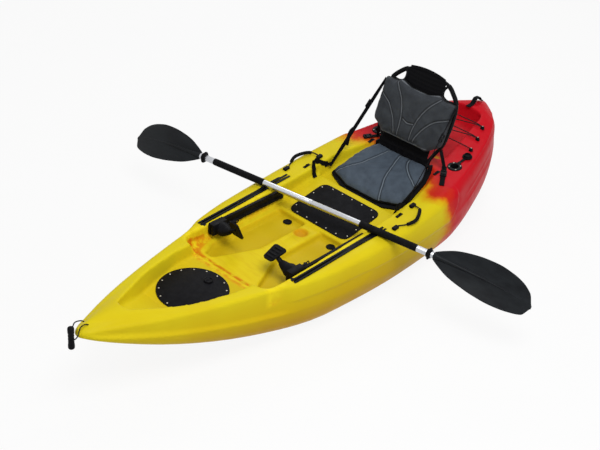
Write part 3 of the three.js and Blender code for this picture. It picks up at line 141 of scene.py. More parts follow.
class Surface:
    """A new material, its tree and its shader. What is the same all over is set on the shader's own sockets."""

    def __init__(self, name, **sockets):
        self.material = bpy.data.materials.new(name)
        self.material.use_nodes = True
        self.tree = self.material.node_tree
        self.shader = self.tree.nodes["Principled BSDF"]
        for key, value in sockets.items():
            self.shader.inputs[key.replace("_", " ")].default_value = value
        # Every piece sits at the origin, so Object coordinates are metres in the row frame
        self.place = self.put("ShaderNodeTexCoord").outputs["Object"]

    def put(self, kind, inputs=None, **fields):
        return put(self.tree, kind, inputs, **fields)

    def grain(self, size_mm, detail=3.0, roughness=0.55, where=None):
        """Noise whose patches are about size_mm across, as a number around one half."""
        inputs = {"Vector": where or self.place, "Scale": 1000 / size_mm, "Detail": detail, "Roughness": roughness}
        return self.put("ShaderNodeTexNoise", inputs).outputs[0]

    def ramp(self, value, low, high, to_low=0.0, to_high=1.0):
        """value carried from low..high to to_low..to_high, and held at the ends."""
        inputs = {"Value": value, "From Min": low, "From Max": high, "To Min": to_low, "To Max": to_high}
        return self.put("ShaderNodeMapRange", inputs, clamp=True).outputs[0]

    def calc(self, what, first, *others):
        """The first term with each of the others added, multiplied or compared in turn."""
        for other in others:
            first = self.put("ShaderNodeMath", {0: first, 1: other}, operation=what).outputs[0]
        return first

    def size_of(self, value):
        return self.put("ShaderNodeMath", {0: value}, operation="ABSOLUTE").outputs[0]

    def mix(self, share, under, over):
        """A share of one colour over another; either may be a hex code."""
        return self.put("ShaderNodeMix", {0: share, 6: under, 7: over}, data_type="RGBA").outputs[2]

    def distance(self, point):
        inputs = {0: self.place, 1: point}
        return self.put("ShaderNodeVectorMath", inputs, operation="DISTANCE").outputs["Value"]

    def attribute(self, name):
        fields = {"attribute_name": name, "attribute_type": "GEOMETRY"}
        return self.put("ShaderNodeAttribute", **fields).outputs["Fac"]

    def band_map(self):
        """The piece's own UV map: metres along the band and round it."""
        return self.put("ShaderNodeUVMap", uv_map="band").outputs[0]

    def mapped(self, scale=(1, 1, 1), turn=(0, 0, 0), where=None):
        inputs = {"Vector": where or self.place, "Rotation": turn, "Scale": scale}
        return self.put("ShaderNodeMapping", inputs).outputs[0]

    def waves(self, where, pitch_mm, way, distortion=0.0):
        """Bands of that pitch: a Wave texture repeats every 2 pi / 20 units at scale 1."""
        inputs = {"Vector": where, "Scale": 2 * math.pi / 20 / (pitch_mm * MM), "Distortion": distortion}
        return self.put("ShaderNodeTexWave", inputs, bands_direction=way).outputs[1]

    def finish(self, colour, roughness, heights=()):
        """Links the colour and the roughness, and chains one Bump node for each (height, strength, millimetres deep)
        into the normal. Gives the material."""
        self.tree.links.new(colour, self.shader.inputs["Base Color"])
        self.tree.links.new(roughness, self.shader.inputs["Roughness"])
        normal = None
        for height, strength, depth_mm in heights:
            inputs = {"Height": height, "Strength": strength, "Distance": depth_mm * MM}
            if normal is not None:
                inputs["Normal"] = normal
            normal = self.put("ShaderNodeBump", inputs).outputs[0]
        if normal is not None:
            self.tree.links.new(normal, self.shader.inputs["Normal"])
        return self.material


# ---------------------------------------------------------------- materials

# Where yellow gives way to red on the centreline, and the half width of the change
TURN_X, TURN_HALF = -0.69, 0.085
HULL_COLOURS = [(0.0, "C61522"), (0.34, "CB2E1C"), (0.5, "D96A16"), (0.66, "DCA318"), (1.0, "DDCA1E")]
SPLASH_AT = (-0.83, 0.085, 0.40)
WELL_FLOOR_Z = 0.245
# The drain cup in the foot well's floor
CUP_AT, CUP_R, CUP_DEPTH = (0.068, -0.011), 0.034, 0.010


def colour_turn(s, x, y):
    """Share of yellow. The line between the colours lies further forward on the side decks, further aft on the port
    side and round a splash of yellow behind the seat, and wavers with a slow noise."""
    port_deck = s.ramp(y, 0.13, 0.30, 0.0, -0.19)
    port_side = s.ramp(y, 0.33, 0.41, 0.0, 0.07)
    starboard_deck = s.ramp(y, -0.20, -0.28, 0.0, -0.06)
    splash = s.ramp(s.distance(SPLASH_AT), 0.075, 0.035, 0.0, 0.24)
    waver = s.ramp(s.grain(120, 4.0, 0.6), 0.25, 0.75, -0.045, 0.045)
    ahead = s.calc("ADD", x, -TURN_X, port_deck, port_side, starboard_deck, splash, waver)
    return s.ramp(ahead, -TURN_HALF, TURN_HALF)


def hull_colours(s, share):
    """The colour band from red through orange to yellow."""
    blend = s.put("ShaderNodeValToRGB", {0: share})
    elements = blend.color_ramp.elements
    while len(elements) < len(HULL_COLOURS):
        elements.new(0.5)
    for element, (at, code) in zip(elements, HULL_COLOURS):
        element.position = at
        element.color = linear(code)
    return blend.outputs[0]


def rotomoulded_polyethylene():
    """Linear polyethylene, rotomoulded from two lots of powder: yellow forward and red aft, melted into each other
    through orange over a hand's width. The yellow is warmer in places and rippled in the foot well. Painted shade
    turns it darker amber towards the keel, and painted light brightens the foot well's floor. The well's corners take
    an orange mottle that is part staining and part painted shade, and its cup is stained orange; painted shade darkens
    the red in its corners."""
    s = Surface("rotomoulded_polyethylene", IOR=1.5, Specular_IOR_Level=0.03)
    x, y, z = s.put("ShaderNodeSeparateXYZ", {0: s.place}).outputs
    share = colour_turn(s, x, y)
    band = hull_colours(s, share)
    patches = s.grain(260, 2.0, 0.5)
    base = s.mix(share, band, s.mix(s.ramp(patches, 0.4, 0.7, 0.0, 0.3), band, "D2B016"))
    # Painted shade: the yellow turns darker amber towards the keel, from z 0.32 down to 0.10
    base = s.mix(share, base, s.mix(s.ramp(z, 0.32, 0.10, 0.0, 0.8), base, "B8830A"))
    well = s.calc("MULTIPLY", s.ramp(x, 0.605, 0.58), s.ramp(x, -0.10, 0.10), s.ramp(z, 0.23, 0.25),
                  s.ramp(s.size_of(y), 0.30, 0.28))
    ripple = s.grain(26, 3.0, where=s.mapped((1.0, 0.28, 1.0), (0, 0, 0.5)))
    # Painted light: the foot well's floor is mixed towards a brighter yellow to lift its shade
    base = s.mix(s.calc("MULTIPLY", well, 0.7), base, "F2DC22")
    base = s.mix(s.calc("MULTIPLY", s.ramp(ripple, 0.45, 0.62), well, 0.3), base, "CFA50C")
    # Orange mottle in the hollow corners, part staining and part painted shade
    stain_and_shade = s.calc("MULTIPLY", s.ramp(s.attribute("hollow"), 0.01, 0.28), s.ramp(s.grain(34, 4.0, 0.6), 0.36, 0.54))
    cup = s.ramp(s.distance((*CUP_AT, WELL_FLOOR_Z)), CUP_R + 0.010, CUP_R - 0.004, 0.0, 0.55)
    orange_share = s.calc("MAXIMUM", s.calc("MULTIPLY", stain_and_shade, well, s.ramp(x, 0.38, 0.54, 0.35, 1.0)), cup)
    orange = s.mix(s.calc("MULTIPLY", orange_share, 0.85), base, "D2640F")
    # Painted shade: the red darkens in its hollow corners
    dark_red = s.mix(s.calc("MULTIPLY", stain_and_shade, 0.30), base, "A30F18")
    return s.finish(s.mix(share, dark_red, orange), s.ramp(s.grain(40), 0.3, 0.7, 0.30, 0.42),
                    [(patches, 0.5, 1.6), (s.grain(2.4, 2.0), 0.22, 0.25)])


def moulded_plastic(name, code, roughness, grain_mm=1.6, relief=0.3):
    """Nylon or ABS, injection moulded: near black, with a spark-eroded grain that breaks up the highlights."""
    s = Surface(name, IOR=1.5, Specular_IOR_Level=0.04)
    return s.finish(s.mix(s.ramp(s.grain(30), 0.3, 0.7), code, "18181B"),
                    s.ramp(s.grain(9), 0.3, 0.7, roughness - 0.07, roughness + 0.07),
                    [(s.grain(grain_mm, 1.0), relief, 0.12)])


def soft_rubber():
    """Black elastomer, moulded: no clear highlight, a bloom of grey dust in places."""
    s = Surface("soft_rubber", IOR=1.52, Specular_IOR_Level=0.05)
    return s.finish(s.mix(s.ramp(s.grain(14), 0.45, 0.75), "0E0E10", "19191B"),
                    s.ramp(s.grain(20), 0.3, 0.7, 0.55, 0.72), [(s.grain(1.2, 1.0), 0.3, 0.1)])


def woven_webbing():
    """Polypropylene webbing: ribs of warp yarn across the band, drawn twice as coarse as real yarn so that they show,
    and worn grey in places."""
    s = Surface("woven_webbing", IOR=1.46, Specular_IOR_Level=0.05)
    uv = s.band_map()
    weave = s.calc("MULTIPLY", s.waves(uv, 2.2, "X"), s.waves(uv, 3.1, "Y"))
    worn = s.ramp(s.grain(22), 0.5, 0.8, 0.0, 0.3)
    return s.finish(s.mix(worn, s.mix(weave, "0C0C0E", "1C1C1F"), "242427"), s.ramp(weave, 0, 1, 0.85, 0.65),
                    [(weave, 0.6, 0.5)])


def braided_cord():
    """Braided polyester cord: two sets of strands that cross at a slant round the tube."""
    s = Surface("braided_black_cord", IOR=1.46, Specular_IOR_Level=0.10)
    uv = s.band_map()
    strands = [s.waves(s.mapped(turn=(0, 0, slant), where=uv), 2.4, "X") for slant in (0.8, -0.8)]
    braid = s.calc("MAXIMUM", *strands)
    return s.finish(s.mix(braid, "0C0C0E", "222225"), s.ramp(braid, 0, 1, 0.8, 0.6), [(braid, 0.6, 0.4)])


def coated_cloth(name, code, light, seam_code, lean):
    """Coated polyester oxford cloth over foam: a plain weave every 1.8 mm, drawn coarse enough to show, a pale line
    along the channels that is paler stitching with a painted highlight on it, painted shade in the crease beside it,
    and black binding at the rim. lean turns the weave into the cushion's own plane."""
    s = Surface(name, IOR=1.48, Specular_IOR_Level=0.14, Sheen_Weight=0.05, Sheen_Roughness=0.4)
    plane = s.mapped(turn=(0, lean, 0))
    along, across, up = (s.waves(plane, 1.8, way, 0.4) for way in "XYZ")
    weave = s.calc("MULTIPLY", s.calc("MAXIMUM", along, up), across)
    tone = s.mix(s.ramp(s.grain(60, 4.0), 0.3, 0.7), code, light)
    tone = s.mix(s.calc("MULTIPLY", weave, 0.35), tone, light)
    # Pale line along each seam: paler stitching with a painted highlight on it
    tone = s.mix(s.calc("MULTIPLY", s.attribute("seam"), 0.8), tone, seam_code)
    # Painted shade in the crease beside each seam
    tone = s.mix(s.calc("MULTIPLY", s.attribute("crease"), 0.75), tone, "16181B")
    tone = s.mix(s.ramp(s.attribute("binding"), 0.35, 0.6), tone, "0E0F11")
    return s.finish(tone, s.ramp(s.grain(25), 0.3, 0.7, 0.56, 0.72),
                    [(s.grain(45, 3.0), 0.35, 2.0), (weave, 0.35, 0.3)])


def open_mesh_cloth():
    """Spacer mesh, knitted: black, with round holes every 5 mm drawn as darker dots, painted shade inside the holes."""
    s = Surface("open_mesh_cloth", IOR=1.46, Specular_IOR_Level=0.06)
    holes = s.put("ShaderNodeTexVoronoi", {"Vector": s.place, "Scale": 1000 / 5, "Randomness": 0.15})
    thread = s.ramp(holes.outputs["Distance"], 0.25, 0.5)
    return s.finish(s.mix(thread, "08080A", "111113"), s.ramp(thread, 0, 1, 0.95, 0.7), [(thread, 0.3, 0.3)])


def black_anodised():
    """Aluminium extrusion, black anodised: drawn lines along it, satin."""
    s = Surface("black_anodised_aluminium", Metallic=0.25, Specular_IOR_Level=0.12)
    lines = s.grain(1.4, 2.0, where=s.mapped((0.04, 1.0, 1.0)))
    return s.finish(s.mix(s.ramp(lines, 0.35, 0.65), "090A0B", "121315"), s.ramp(lines, 0.3, 0.7, 0.45, 0.58),
                    [(lines, 0.15, 0.05)])


def satin_alloy():
    """Aluminium tube, drawn and clear anodised: fine lines round it, a soft bright highlight."""
    s = Surface("satin_alloy", Metallic=1.0)
    lines = s.grain(1.2, 2.0, where=s.mapped((1.0, 0.05, 1.0)))
    return s.finish(s.mix(s.ramp(lines, 0.35, 0.65), "B4B6BA", "C9CBCF"), s.ramp(s.grain(18), 0.3, 0.7, 0.26, 0.38),
                    [(lines, 0.12, 0.04)])


def filled_nylon():
    """Glass-filled nylon, injection moulded: charcoal, flow marks along the blade and a broad satin sheen."""
    s = Surface("filled_nylon", IOR=1.53, Specular_IOR_Level=0.09)
    flow = s.grain(34, 4.0, where=s.mapped((1.0, 0.25, 1.0)))
    return s.finish(s.mix(s.ramp(flow, 0.3, 0.7), "131518", "1E2124"), s.ramp(flow, 0.3, 0.7, 0.34, 0.46),
                    [(s.grain(1.5, 1.0), 0.25, 0.1)])


def stainless_steel():
    """Stainless screws: bright, turned, a little stained."""
    s = Surface("stainless_steel", Metallic=1.0)
    return s.finish(s.mix(s.ramp(s.grain(3), 0.3, 0.7), "9A9488", "C4C0B4"), s.ramp(s.grain(2), 0.3, 0.7, 0.3, 0.5))


def looked_at(tree):
    """1 for the rays that see a thing as white background: the camera's, and those a shiny or clear surface sends."""
    seen = put(tree, "ShaderNodeLightPath").outputs
    shiny = put(tree, "ShaderNodeMath", {0: seen["Is Camera Ray"], 1: seen["Is Glossy Ray"]}, operation="MAXIMUM")
    inputs = {0: shiny.outputs[0], 1: seen["Is Transmission Ray"]}
    return put(tree, "ShaderNodeMath", inputs, operation="MAXIMUM").outputs[0]


def studio_floor():
    """Painted board: white to the camera and in reflections, with the shadow that the boat throws on it."""
    s = Surface("studio_floor", Roughness=0.9, IOR=1.3, Specular_IOR_Level=0.0)
    board = s.mix(s.ramp(s.grain(300), 0.3, 0.7), "E6E6E6", "E9E9E9")
    s.tree.links.new(board, s.shader.inputs["Base Color"])
    white = s.put("ShaderNodeEmission", {"Color": "FFFFFF", "Strength": 1.0}).outputs[0]
    share = s.calc("MULTIPLY", looked_at(s.tree), 0.9)
    mix = s.put("ShaderNodeMixShader", {0: share, 1: s.shader.outputs[0], 2: white})
    s.tree.links.new(mix.outputs[0], s.tree.nodes["Material Output"].inputs["Surface"])
    return s.material


SEAT_TILT = math.atan(0.3)
BACK_LEAN = 0.28

finishes = {
    "hull_polyethylene": rotomoulded_polyethylene(),
    "black_plastic": moulded_plastic("moulded_black_nylon", "0F0F11", 0.42),
    "plate_plastic": moulded_plastic("black_polyethylene_sheet", "0F0F12", 0.55, 2.6, 0.4),
    "black_rubber": soft_rubber(),
    "black_webbing": woven_webbing(),
    "black_cord": braided_cord(),
    "grey_seat_cloth": coated_cloth("blue_grey_oxford_cloth", "3C4550", "4E5965", "838E98", -SEAT_TILT),
    "dark_back_cloth": coated_cloth("dark_grey_oxford_cloth", "2E3136", "3D4146", "767A80", BACK_LEAN),
    "black_mesh": open_mesh_cloth(),
    "black_anodised": black_anodised(),
    "bright_alloy": satin_alloy(),
    "blade_nylon": filled_nylon(),
    "steel": stainless_steel(),
}


# ---------------------------------------------------------------- shapes

def unit(v):
    return v / np.linalg.norm(v, axis=-1, keepdims=True)


def run_of(path):
    """Direction of a path at each of its points."""
    return unit(np.gradient(path, axis=0))


def lengths_along(points):
    """Distance travelled along a row of points, from its first."""
    return np.concatenate([[0], np.cumsum(np.linalg.norm(np.diff(points, axis=0), axis=1))])


def smooth_step(x, low, high):
    t = np.clip((x - low) / (high - low), 0, 1)
    return t * t * (3 - 2 * t)


def bell(x, width):
    """Gauss bell of a distance: 1 at x = 0, falling to 1 / e at the width."""
    return np.exp(-(x / width) ** 2)


def from_ends(count):
    """Distance from the nearer end, for count even steps over a length of 1."""
    share = np.linspace(0, 1, count)
    return np.minimum(share, 1 - share)


def make(name, grids, body, finish, nodes=(), caps=True, sharp=38):
    """One piece from grids of points. A grid's rows run along the piece and its columns go round it, and caps closes
    its ends with a face each. The UV map holds metres along the first column and round the middle row."""
    points, faces, uvs, first = [], [], [], 0
    for grid in grids:
        rows, cols = grid.shape[:2]
        r, c = np.arange(rows - 1)[:, None], np.arange(cols)
        corners = [(r, c), (r, c + 1), (r + 1, c + 1), (r + 1, c)]
        row, col = np.stack([np.stack(np.broadcast_arrays(a, b)) for a, b in corners], -1)
        faces += (row * cols + col % cols + first).reshape(-1, 4).tolist()
        middle = grid[rows // 2]
        around = lengths_along(np.concatenate([middle, middle[:1]]))
        uvs.append(np.stack([lengths_along(grid[:, 0])[row], around[col]], -1).reshape(-1, 2))
        if caps:
            end = np.arange(cols) + first
            faces += [end[::-1].tolist(), (end + (rows - 1) * cols).tolist()]
            uvs.append(np.zeros((2 * cols, 2)))
        points.append(grid.reshape(-1, 3))
        first += rows * cols
    mesh = bpy.data.meshes.new(name)
    mesh.from_pydata(np.concatenate(points), [], faces)
    mesh.uv_layers.new(name="band").data.foreach_set("uv", np.concatenate(uvs).ravel())
    return settle(name, mesh, body, finish, nodes, sharp)


def settle(name, mesh, body, finish, nodes=(), sharp=38):
    """Merges a mesh's doubles, turns its faces out, shades it and puts it in the scene as a piece."""
    work = bmesh.new()
    work.from_mesh(mesh)
    bmesh.ops.remove_doubles(work, verts=work.verts, dist=2e-6)
    bmesh.ops.dissolve_degenerate(work, dist=1e-7, edges=work.edges)
    bmesh.ops.recalc_face_normals(work, faces=work.faces)
    work.to_mesh(mesh)
    work.free()
    mesh.polygons.foreach_set("use_smooth", np.ones(len(mesh.polygons), bool))
    mesh.set_sharp_from_angle(angle=math.radians(sharp))
    mesh.materials.clear()
    mesh.materials.append(finishes[finish])
    obj = show(bpy.data.objects.new(name, mesh))
    bends = isinstance(body, tuple)
    if not bends:
        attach(obj, body)
    if nodes:
        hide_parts(*nodes)
    if bends:
        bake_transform(obj)
    return obj


def sweep(path, profile, across):
    """A profile carried along a path: its first number goes along across, made square to the run, and its second
    along run x across. profile is (columns, 2), or (rows, columns, 2) where it changes on the way."""
    run = run_of(path)
    side = np.broadcast_to(across, run.shape)
    side = unit(side - (side * run).sum(-1, keepdims=True) * run)
    up = np.cross(run, side)
    profile = np.broadcast_to(profile, (len(path), *profile.shape[-2:]))
    return path[:, None] + profile[..., :1] * side[:, None] + profile[..., 1:] * up[:, None]


def circle(radius, sides):
    """Points of a circle; a row of radii gives one circle for each."""
    a = np.linspace(0, 2 * np.pi, sides, endpoint=False)
    return np.multiply.outer(radius, np.stack([np.cos(a), np.sin(a)], -1))


def superellipse(half_x, half_y, power_x, power_y, count):
    """Points of |x / a|^(2 / px) + |y / b|^(2 / py) = 1: the lower the powers, the squarer the outline."""
    c, s = circle(1.0, count).T
    return np.stack([np.sign(c) * np.abs(c) ** power_x * half_x, np.sign(s) * np.abs(s) ** power_y * half_y], -1)


def tube(path, radius, sides):
    """A round tube along a path that never runs straight up."""
    return sweep(path, circle(radius, sides), np.cross(Z_UP, run_of(path)))


def strap_profile(width, thick):
    """Outline of flat webbing: straight faces with half-round edges."""
    return superellipse(width / 2, thick / 2, 0.5, 0.8, 32)


def lathe(profile, sides, axis_point, axis, start_dir=FORWARD):
    """A profile of (radius, height) turned round an axis through a point."""
    axis = unit(np.asarray(axis, float))
    side = unit(np.asarray(start_dir, float) - np.dot(start_dir, axis) * axis)
    p = np.asarray(profile, float)
    ring = circle(1.0, sides) @ np.stack([side, np.cross(axis, side)])
    return np.asarray(axis_point) + p[:, None, :1] * ring + p[:, None, 1:] * axis


def rounded(profile, radius, steps=3, closed=False):
    """A polyline with its corners rounded: each corner becomes a quadratic curve that starts and ends radius away,
    or half a side away where that is less."""
    p = np.asarray(profile, float)
    before, after = np.roll(p, 1, 0) - p, np.roll(p, -1, 0) - p
    side = np.minimum(np.linalg.norm(before, axis=1), np.linalg.norm(after, axis=1))
    reach = np.minimum(radius, 0.5 * side)[:, None]
    a, b = p + unit(before + 1e-12) * reach, p + unit(after + 1e-12) * reach
    t = np.linspace(0, 1, steps + 1)[None, :, None]
    bent = (1 - t) ** 2 * a[:, None] + 2 * t * (1 - t) * p[:, None] + t ** 2 * b[:, None]
    if closed:
        return bent.reshape(-1, p.shape[1])
    return np.concatenate([p[:1], bent[1:-1].reshape(-1, p.shape[1]), p[-1:]])


def curve_through(spots, count):
    """A centripetal Catmull-Rom curve through spots, as evenly spaced points: between two spots it is the cubic whose
    slopes come from the square roots of the distances between neighbours."""
    p = np.asarray(spots, float)
    p = np.concatenate([[2 * p[0] - p[1]], p, [2 * p[-1] - p[-2]]])
    gaps = np.sqrt(np.linalg.norm(np.diff(p, axis=0), axis=1))[:, None]
    before, here, after = gaps[:-2], gaps[1:-1], gaps[2:]
    a, b, c, d = p[:-3], p[1:-2], p[2:-1], p[3:]
    slope_b = here * ((b - a) / before - (c - a) / (before + here) + (c - b) / here)
    slope_c = here * ((c - b) / here - (d - b) / (here + after) + (d - c) / after)
    t = np.linspace(0, 1, 40, endpoint=False)[None, :, None]
    terms = [2 * t ** 3 - 3 * t ** 2 + 1, t ** 3 - 2 * t ** 2 + t, -2 * t ** 3 + 3 * t ** 2, t ** 3 - t ** 2]
    fine = sum(term * value[:, None] for term, value in zip(terms, (b, slope_b, c, slope_c)))
    return even(np.concatenate([fine.reshape(-1, p.shape[1]), p[-2:-1]]), count)


def even(points, count):
    """count points at equal steps along a polyline."""
    points = np.asarray(points, float)
    s = lengths_along(points)
    at = np.linspace(0, s[-1], count)
    return np.stack([np.interp(at, s, column) for column in points.T], -1)


def table_at(table, s):
    """Smooth value of a table of (place, value) at s: cubics whose slopes are the harmonic means of the rates on both
    sides, and 0 where the rate changes sign."""
    x, y = np.asarray(table, float).T
    rate = np.diff(y) / np.diff(x)
    before, after = rate[:-1], rate[1:]
    total = np.where(np.abs(before + after) < 1e-12, 1, before + after)
    inner = np.where(before * after > 0, 2 * before * after / total, 0)
    slope = np.concatenate([rate[:1], inner, rate[-1:]])
    s = np.clip(s, x[0], x[-1])
    i = np.clip(np.searchsorted(x, s, side="right") - 1, 0, len(x) - 2)
    span = x[i + 1] - x[i]
    t = (s - x[i]) / span
    rise = slope[i] * span * t * (1 - t) ** 2 - slope[i + 1] * span * t * t * (1 - t)
    return y[i] + (y[i + 1] - y[i]) * t * t * (3 - 2 * t) + rise


def read(mesh, what):
    """A mesh's points ("co") or vertex normals ("normal")."""
    flat = np.empty(len(mesh.vertices) * 3)
    mesh.vertices.foreach_get(what, flat)
    return flat.reshape(-1, 3)


def points_of(mesh):
    return read(mesh, "co")


def set_points(mesh, points):
    mesh.vertices.foreach_set("co", np.asarray(points, float).ravel())
    mesh.update()


def set_values(mesh, name, values):
    mesh.attributes.new(name, "FLOAT", "POINT").data.foreach_set("value", np.asarray(values, float))


def copy_of(node_name):
    """A copy of a CAD node's mesh with its loose triangles merged, as an object that isn't a piece yet."""
    work = bmesh.new()
    work.from_mesh(cad_nodes[node_name].data)
    bmesh.ops.remove_doubles(work, verts=work.verts, dist=5e-6)
    mesh = bpy.data.meshes.new(node_name + "_work")
    work.to_mesh(mesh)
    work.free()
    mesh.materials.clear()
    return show(bpy.data.objects.new(node_name + "_work", mesh))


def add(obj, kind, **fields):
    """Adds a modifier with its settings."""
    modifier = obj.modifiers.new(kind.lower(), kind)
    for field, value in fields.items():
        setattr(modifier, field, value)
    return modifier


def work_in(obj):
    """Applies an object's modifiers to its mesh."""
    graph = bpy.context.evaluated_depsgraph_get()
    done = bpy.data.meshes.new_from_object(obj.evaluated_get(graph))
    obj.modifiers.clear()
    obj.data = done
    return done


def dress(node_name, finish, radius_mm=1.0, sharp=38, steps=2, bends=None, move=None):
    """A CAD node with its edges rounded as a mould or a file leaves them, its points then moved by a function."""
    obj = copy_of(node_name)
    add(obj, "BEVEL", width=radius_mm * MM, segments=steps, limit_method="ANGLE", angle_limit=math.radians(sharp),
        use_clamp_overlap=True)
    mesh = work_in(obj)
    bpy.data.objects.remove(obj)
    if move:
        set_points(mesh, move(points_of(mesh)))
    return settle(node_name + "_moulded", mesh, bends or body_of[node_name], finish, [node_name], sharp)


SCREW_PROFILE = np.array([[0.001, -0.0005], [0.0042, -0.0005], [0.0042, 0.0002], [0.0030, 0.0013], [0.0013, 0.0019],
                          [0.0012, 0.0010], [0, 0.0010]])


def screws(name, spots, normal, body, finish="steel", size=1.0):
    """Pan-head screws with a sunk drive, all in one piece: each is the profile turned round the normal."""
    return make(name, [lathe(SCREW_PROFILE * size, 12, at, normal) for at in spots], body, finish, caps=False, sharp=50)


# ---------------------------------------------------------------- cords

CORD_SIDES = 12


def laid_cord(name, path, radius, body, nodes):
    """A round cord along a path."""
    piece = make(name, [tube(path, radius, CORD_SIDES)], body, "black_cord", nodes, sharp=60)


# Bow toggle: a bar on a loop of cord whose two ends go down into the deck
TOGGLE_AT = np.array([1.400, 0.0, 0.402])
TOGGLE_LENGTH = 0.106
TOGGLE_R, TOGGLE_WAIST_R, TOGGLE_CORD_R = 0.0138, 0.0122, 0.0025
TOGGLE_FOOT = np.array([1.327, 0.013, 0.380014])


def toggle_bar():
    """A lathe profile: fat ends, a waist in the middle and thin finger rings, turned round the bar's upright line."""
    h = np.linspace(0, 1, 120)
    off_middle = np.abs(h - 0.5)
    body_r = TOGGLE_WAIST_R + (TOGGLE_R - TOGGLE_WAIST_R) * smooth_step(off_middle, 0.18, 0.34)
    rings = 0.0007 * np.maximum(0, np.sin(h * 14 * np.pi)) ** 2 * (off_middle < 0.3)
    ends = np.sqrt(np.clip(1 - (off_middle * 2) ** 24, 0, 1))
    profile = np.stack([(body_r + rings - 0.0003) * ends, h * TOGGLE_LENGTH], -1)
    make("toggle_bar", [lathe(profile, 40, TOGGLE_AT - TOGGLE_LENGTH * Z_UP, Z_UP)], "bow_toggle", "black_plastic",
         ["bow_toggle_bar"], caps=False, sharp=60)


def toggle_cord():
    mid = TOGGLE_AT[2] - TOGGLE_LENGTH / 2
    rise = TOGGLE_FOOT + [[0, 0, 0.003], [0.014, 0.002, 0.013], [0.04, 0.006, 0.015]]
    half = np.concatenate([rise, [[1.384, 0.019, mid + 0.009], [1.397, 0.018, mid + 0.001],
                                  [TOGGLE_AT[0], TOGGLE_R * 0.7, mid]]])
    path = curve_through(np.concatenate([half, [[TOGGLE_AT[0], 0, mid]], half[::-1] * [1, -1, 1]]), 160)
    laid_cord("toggle_cord", path, TOGGLE_CORD_R, "bow_toggle", ["bow_toggle_cord"])


# Carry handles: a cord between two anchors, with a ribbed rubber grip round it
HANDLE_SPOTS = np.array([
    [-0.1964, 0.3460, 0.35103], [-0.23393, 0.3680, 0.35323], [-0.28170, 0.3820, 0.36239],
    [-0.33629, 0.3600, 0.37244], [-0.3650, 0.3370, 0.37144], [-0.3670, 0.3108, 0.37144],
])
HANDLE_STEPS = 160
HANDLE_CORD_R = 0.003
GRIP_FROM, GRIP_TO, GRIP_ROWS, GRIP_RIBS = 0.2, 0.84, 240, 11


def carry_handle(side_name, side):
    """The grip's radius swells to its middle with a cosine rib every eleventh of its length, and its ends close."""
    body = "carry_handle_" + side_name
    path = curve_through(HANDLE_SPOTS * [1, side, 1], HANDLE_STEPS + 1)
    held = path[int(GRIP_FROM * HANDLE_STEPS):int(GRIP_TO * HANDLE_STEPS) + 1]
    along = np.linspace(0, 1, len(held))
    ribs = 0.5 + 0.5 * np.cos(along * GRIP_RIBS * 2 * np.pi)
    radius = 0.0071 + 0.0013 * np.sin(np.pi * along) ** 0.5 + 0.0006 * ribs
    radius = np.interp(np.linspace(0, 1, GRIP_ROWS), along, radius) * smooth_step(from_ends(GRIP_ROWS), -0.02, 0.02)
    grip = make("carry_grip_" + side_name, [tube(even(held, GRIP_ROWS), radius, 24)], body, "black_rubber",
                ["carry_handle_grip_" + side_name], sharp=60)
    laid_cord("carry_cord_" + side_name, path, HANDLE_CORD_R, body, ["carry_handle_cord_" + side_name])


# Bungee in zigzag over the tank well, through a hook at each bend. RIM is the well's rim on the centreline
HOOKS = np.array([[-0.932, 0.2228, 0.4252], [-1.026, 0.1947, 0.4427], [-1.115, 0.1595, 0.4610]])
RIM_Z = np.array([0.4285, 0.4488, 0.4682])
BUNGEE_R, BUNGEE_RISE, BUNGEE_BEND = 0.0025, 0.0105, 0.016
HOOK_HEIGHT, HOOK_SIDES = 0.0158, 24


def hook(at):
    """A moulded pad eye: a superellipse footprint that narrows as it rises."""
    rise = np.array([0.0, 0.002, 0.006, 0.011, 0.0145, HOOK_HEIGHT])
    wide = np.array([1.12, 1.12, 0.98, 0.9, 0.8, 0.55])
    ring = np.multiply.outer(wide, superellipse(0.0080, 0.0096, 0.6, 0.6, HOOK_SIDES))
    return at + np.concatenate([ring, np.broadcast_to(rise[:, None, None], (len(rise), HOOK_SIDES, 1))], -1)


def bungee():
    """The cord goes to port and starboard in turn and turns each corner on a small curve. Between two hooks its height
    follows the rim of the well."""
    spots = np.array([row * [1, side, 1] for row in HOOKS for side in (1, -1)])
    flat = even(rounded(spots[:, :2], BUNGEE_BEND, 8), 420)
    hook_y, hook_z, rim_z = (np.interp(-flat[:, 0], -HOOKS[:, 0], table) for table in (HOOKS[:, 1], HOOKS[:, 2], RIM_Z))
    out = np.clip(np.abs(flat[:, 1]) / hook_y, 0, 1)
    height = rim_z + (hook_z - rim_z) * np.clip((out - 0.74) / 0.26, 0, 1) ** 1.6
    path = np.concatenate([flat, (height + BUNGEE_RISE)[:, None]], 1)
    hooks = make("bungee_hooks", [hook(at) for at in spots], "boat", "black_plastic", sharp=50)
    screws("bungee_hook_screws", spots + (HOOK_HEIGHT + 0.0002) * Z_UP, Z_UP, "boat", size=0.8)
    laid_cord("bungee_cord", path, BUNGEE_R, "boat", ["tankwell_bungee"])


toggle_bar()
toggle_cord()
for side_name, side in SIDES.items():
    carry_handle(side_name, side)
bungee()


# ---------------------------------------------------------------- hull

VOXEL = 0.0062
ROUNDING_PASSES = 7
STERN_PASSES = 40
HULL_FACES = 196000
PANEL_RISE, STRAKE_RISE = 0.0055, 0.0030
# Share of the cup's radius that its flat floor takes
CUP_FLOOR_SHARE = 0.72
# How far a point lies below the mean of its neighbours where the staining and the painted shade of the corners are full
FULL_HOLLOW = 0.0009
# Middle of a rod holder's bore, on port
HOLDER_AT = np.array([-0.771, 0.243, 0.400857])


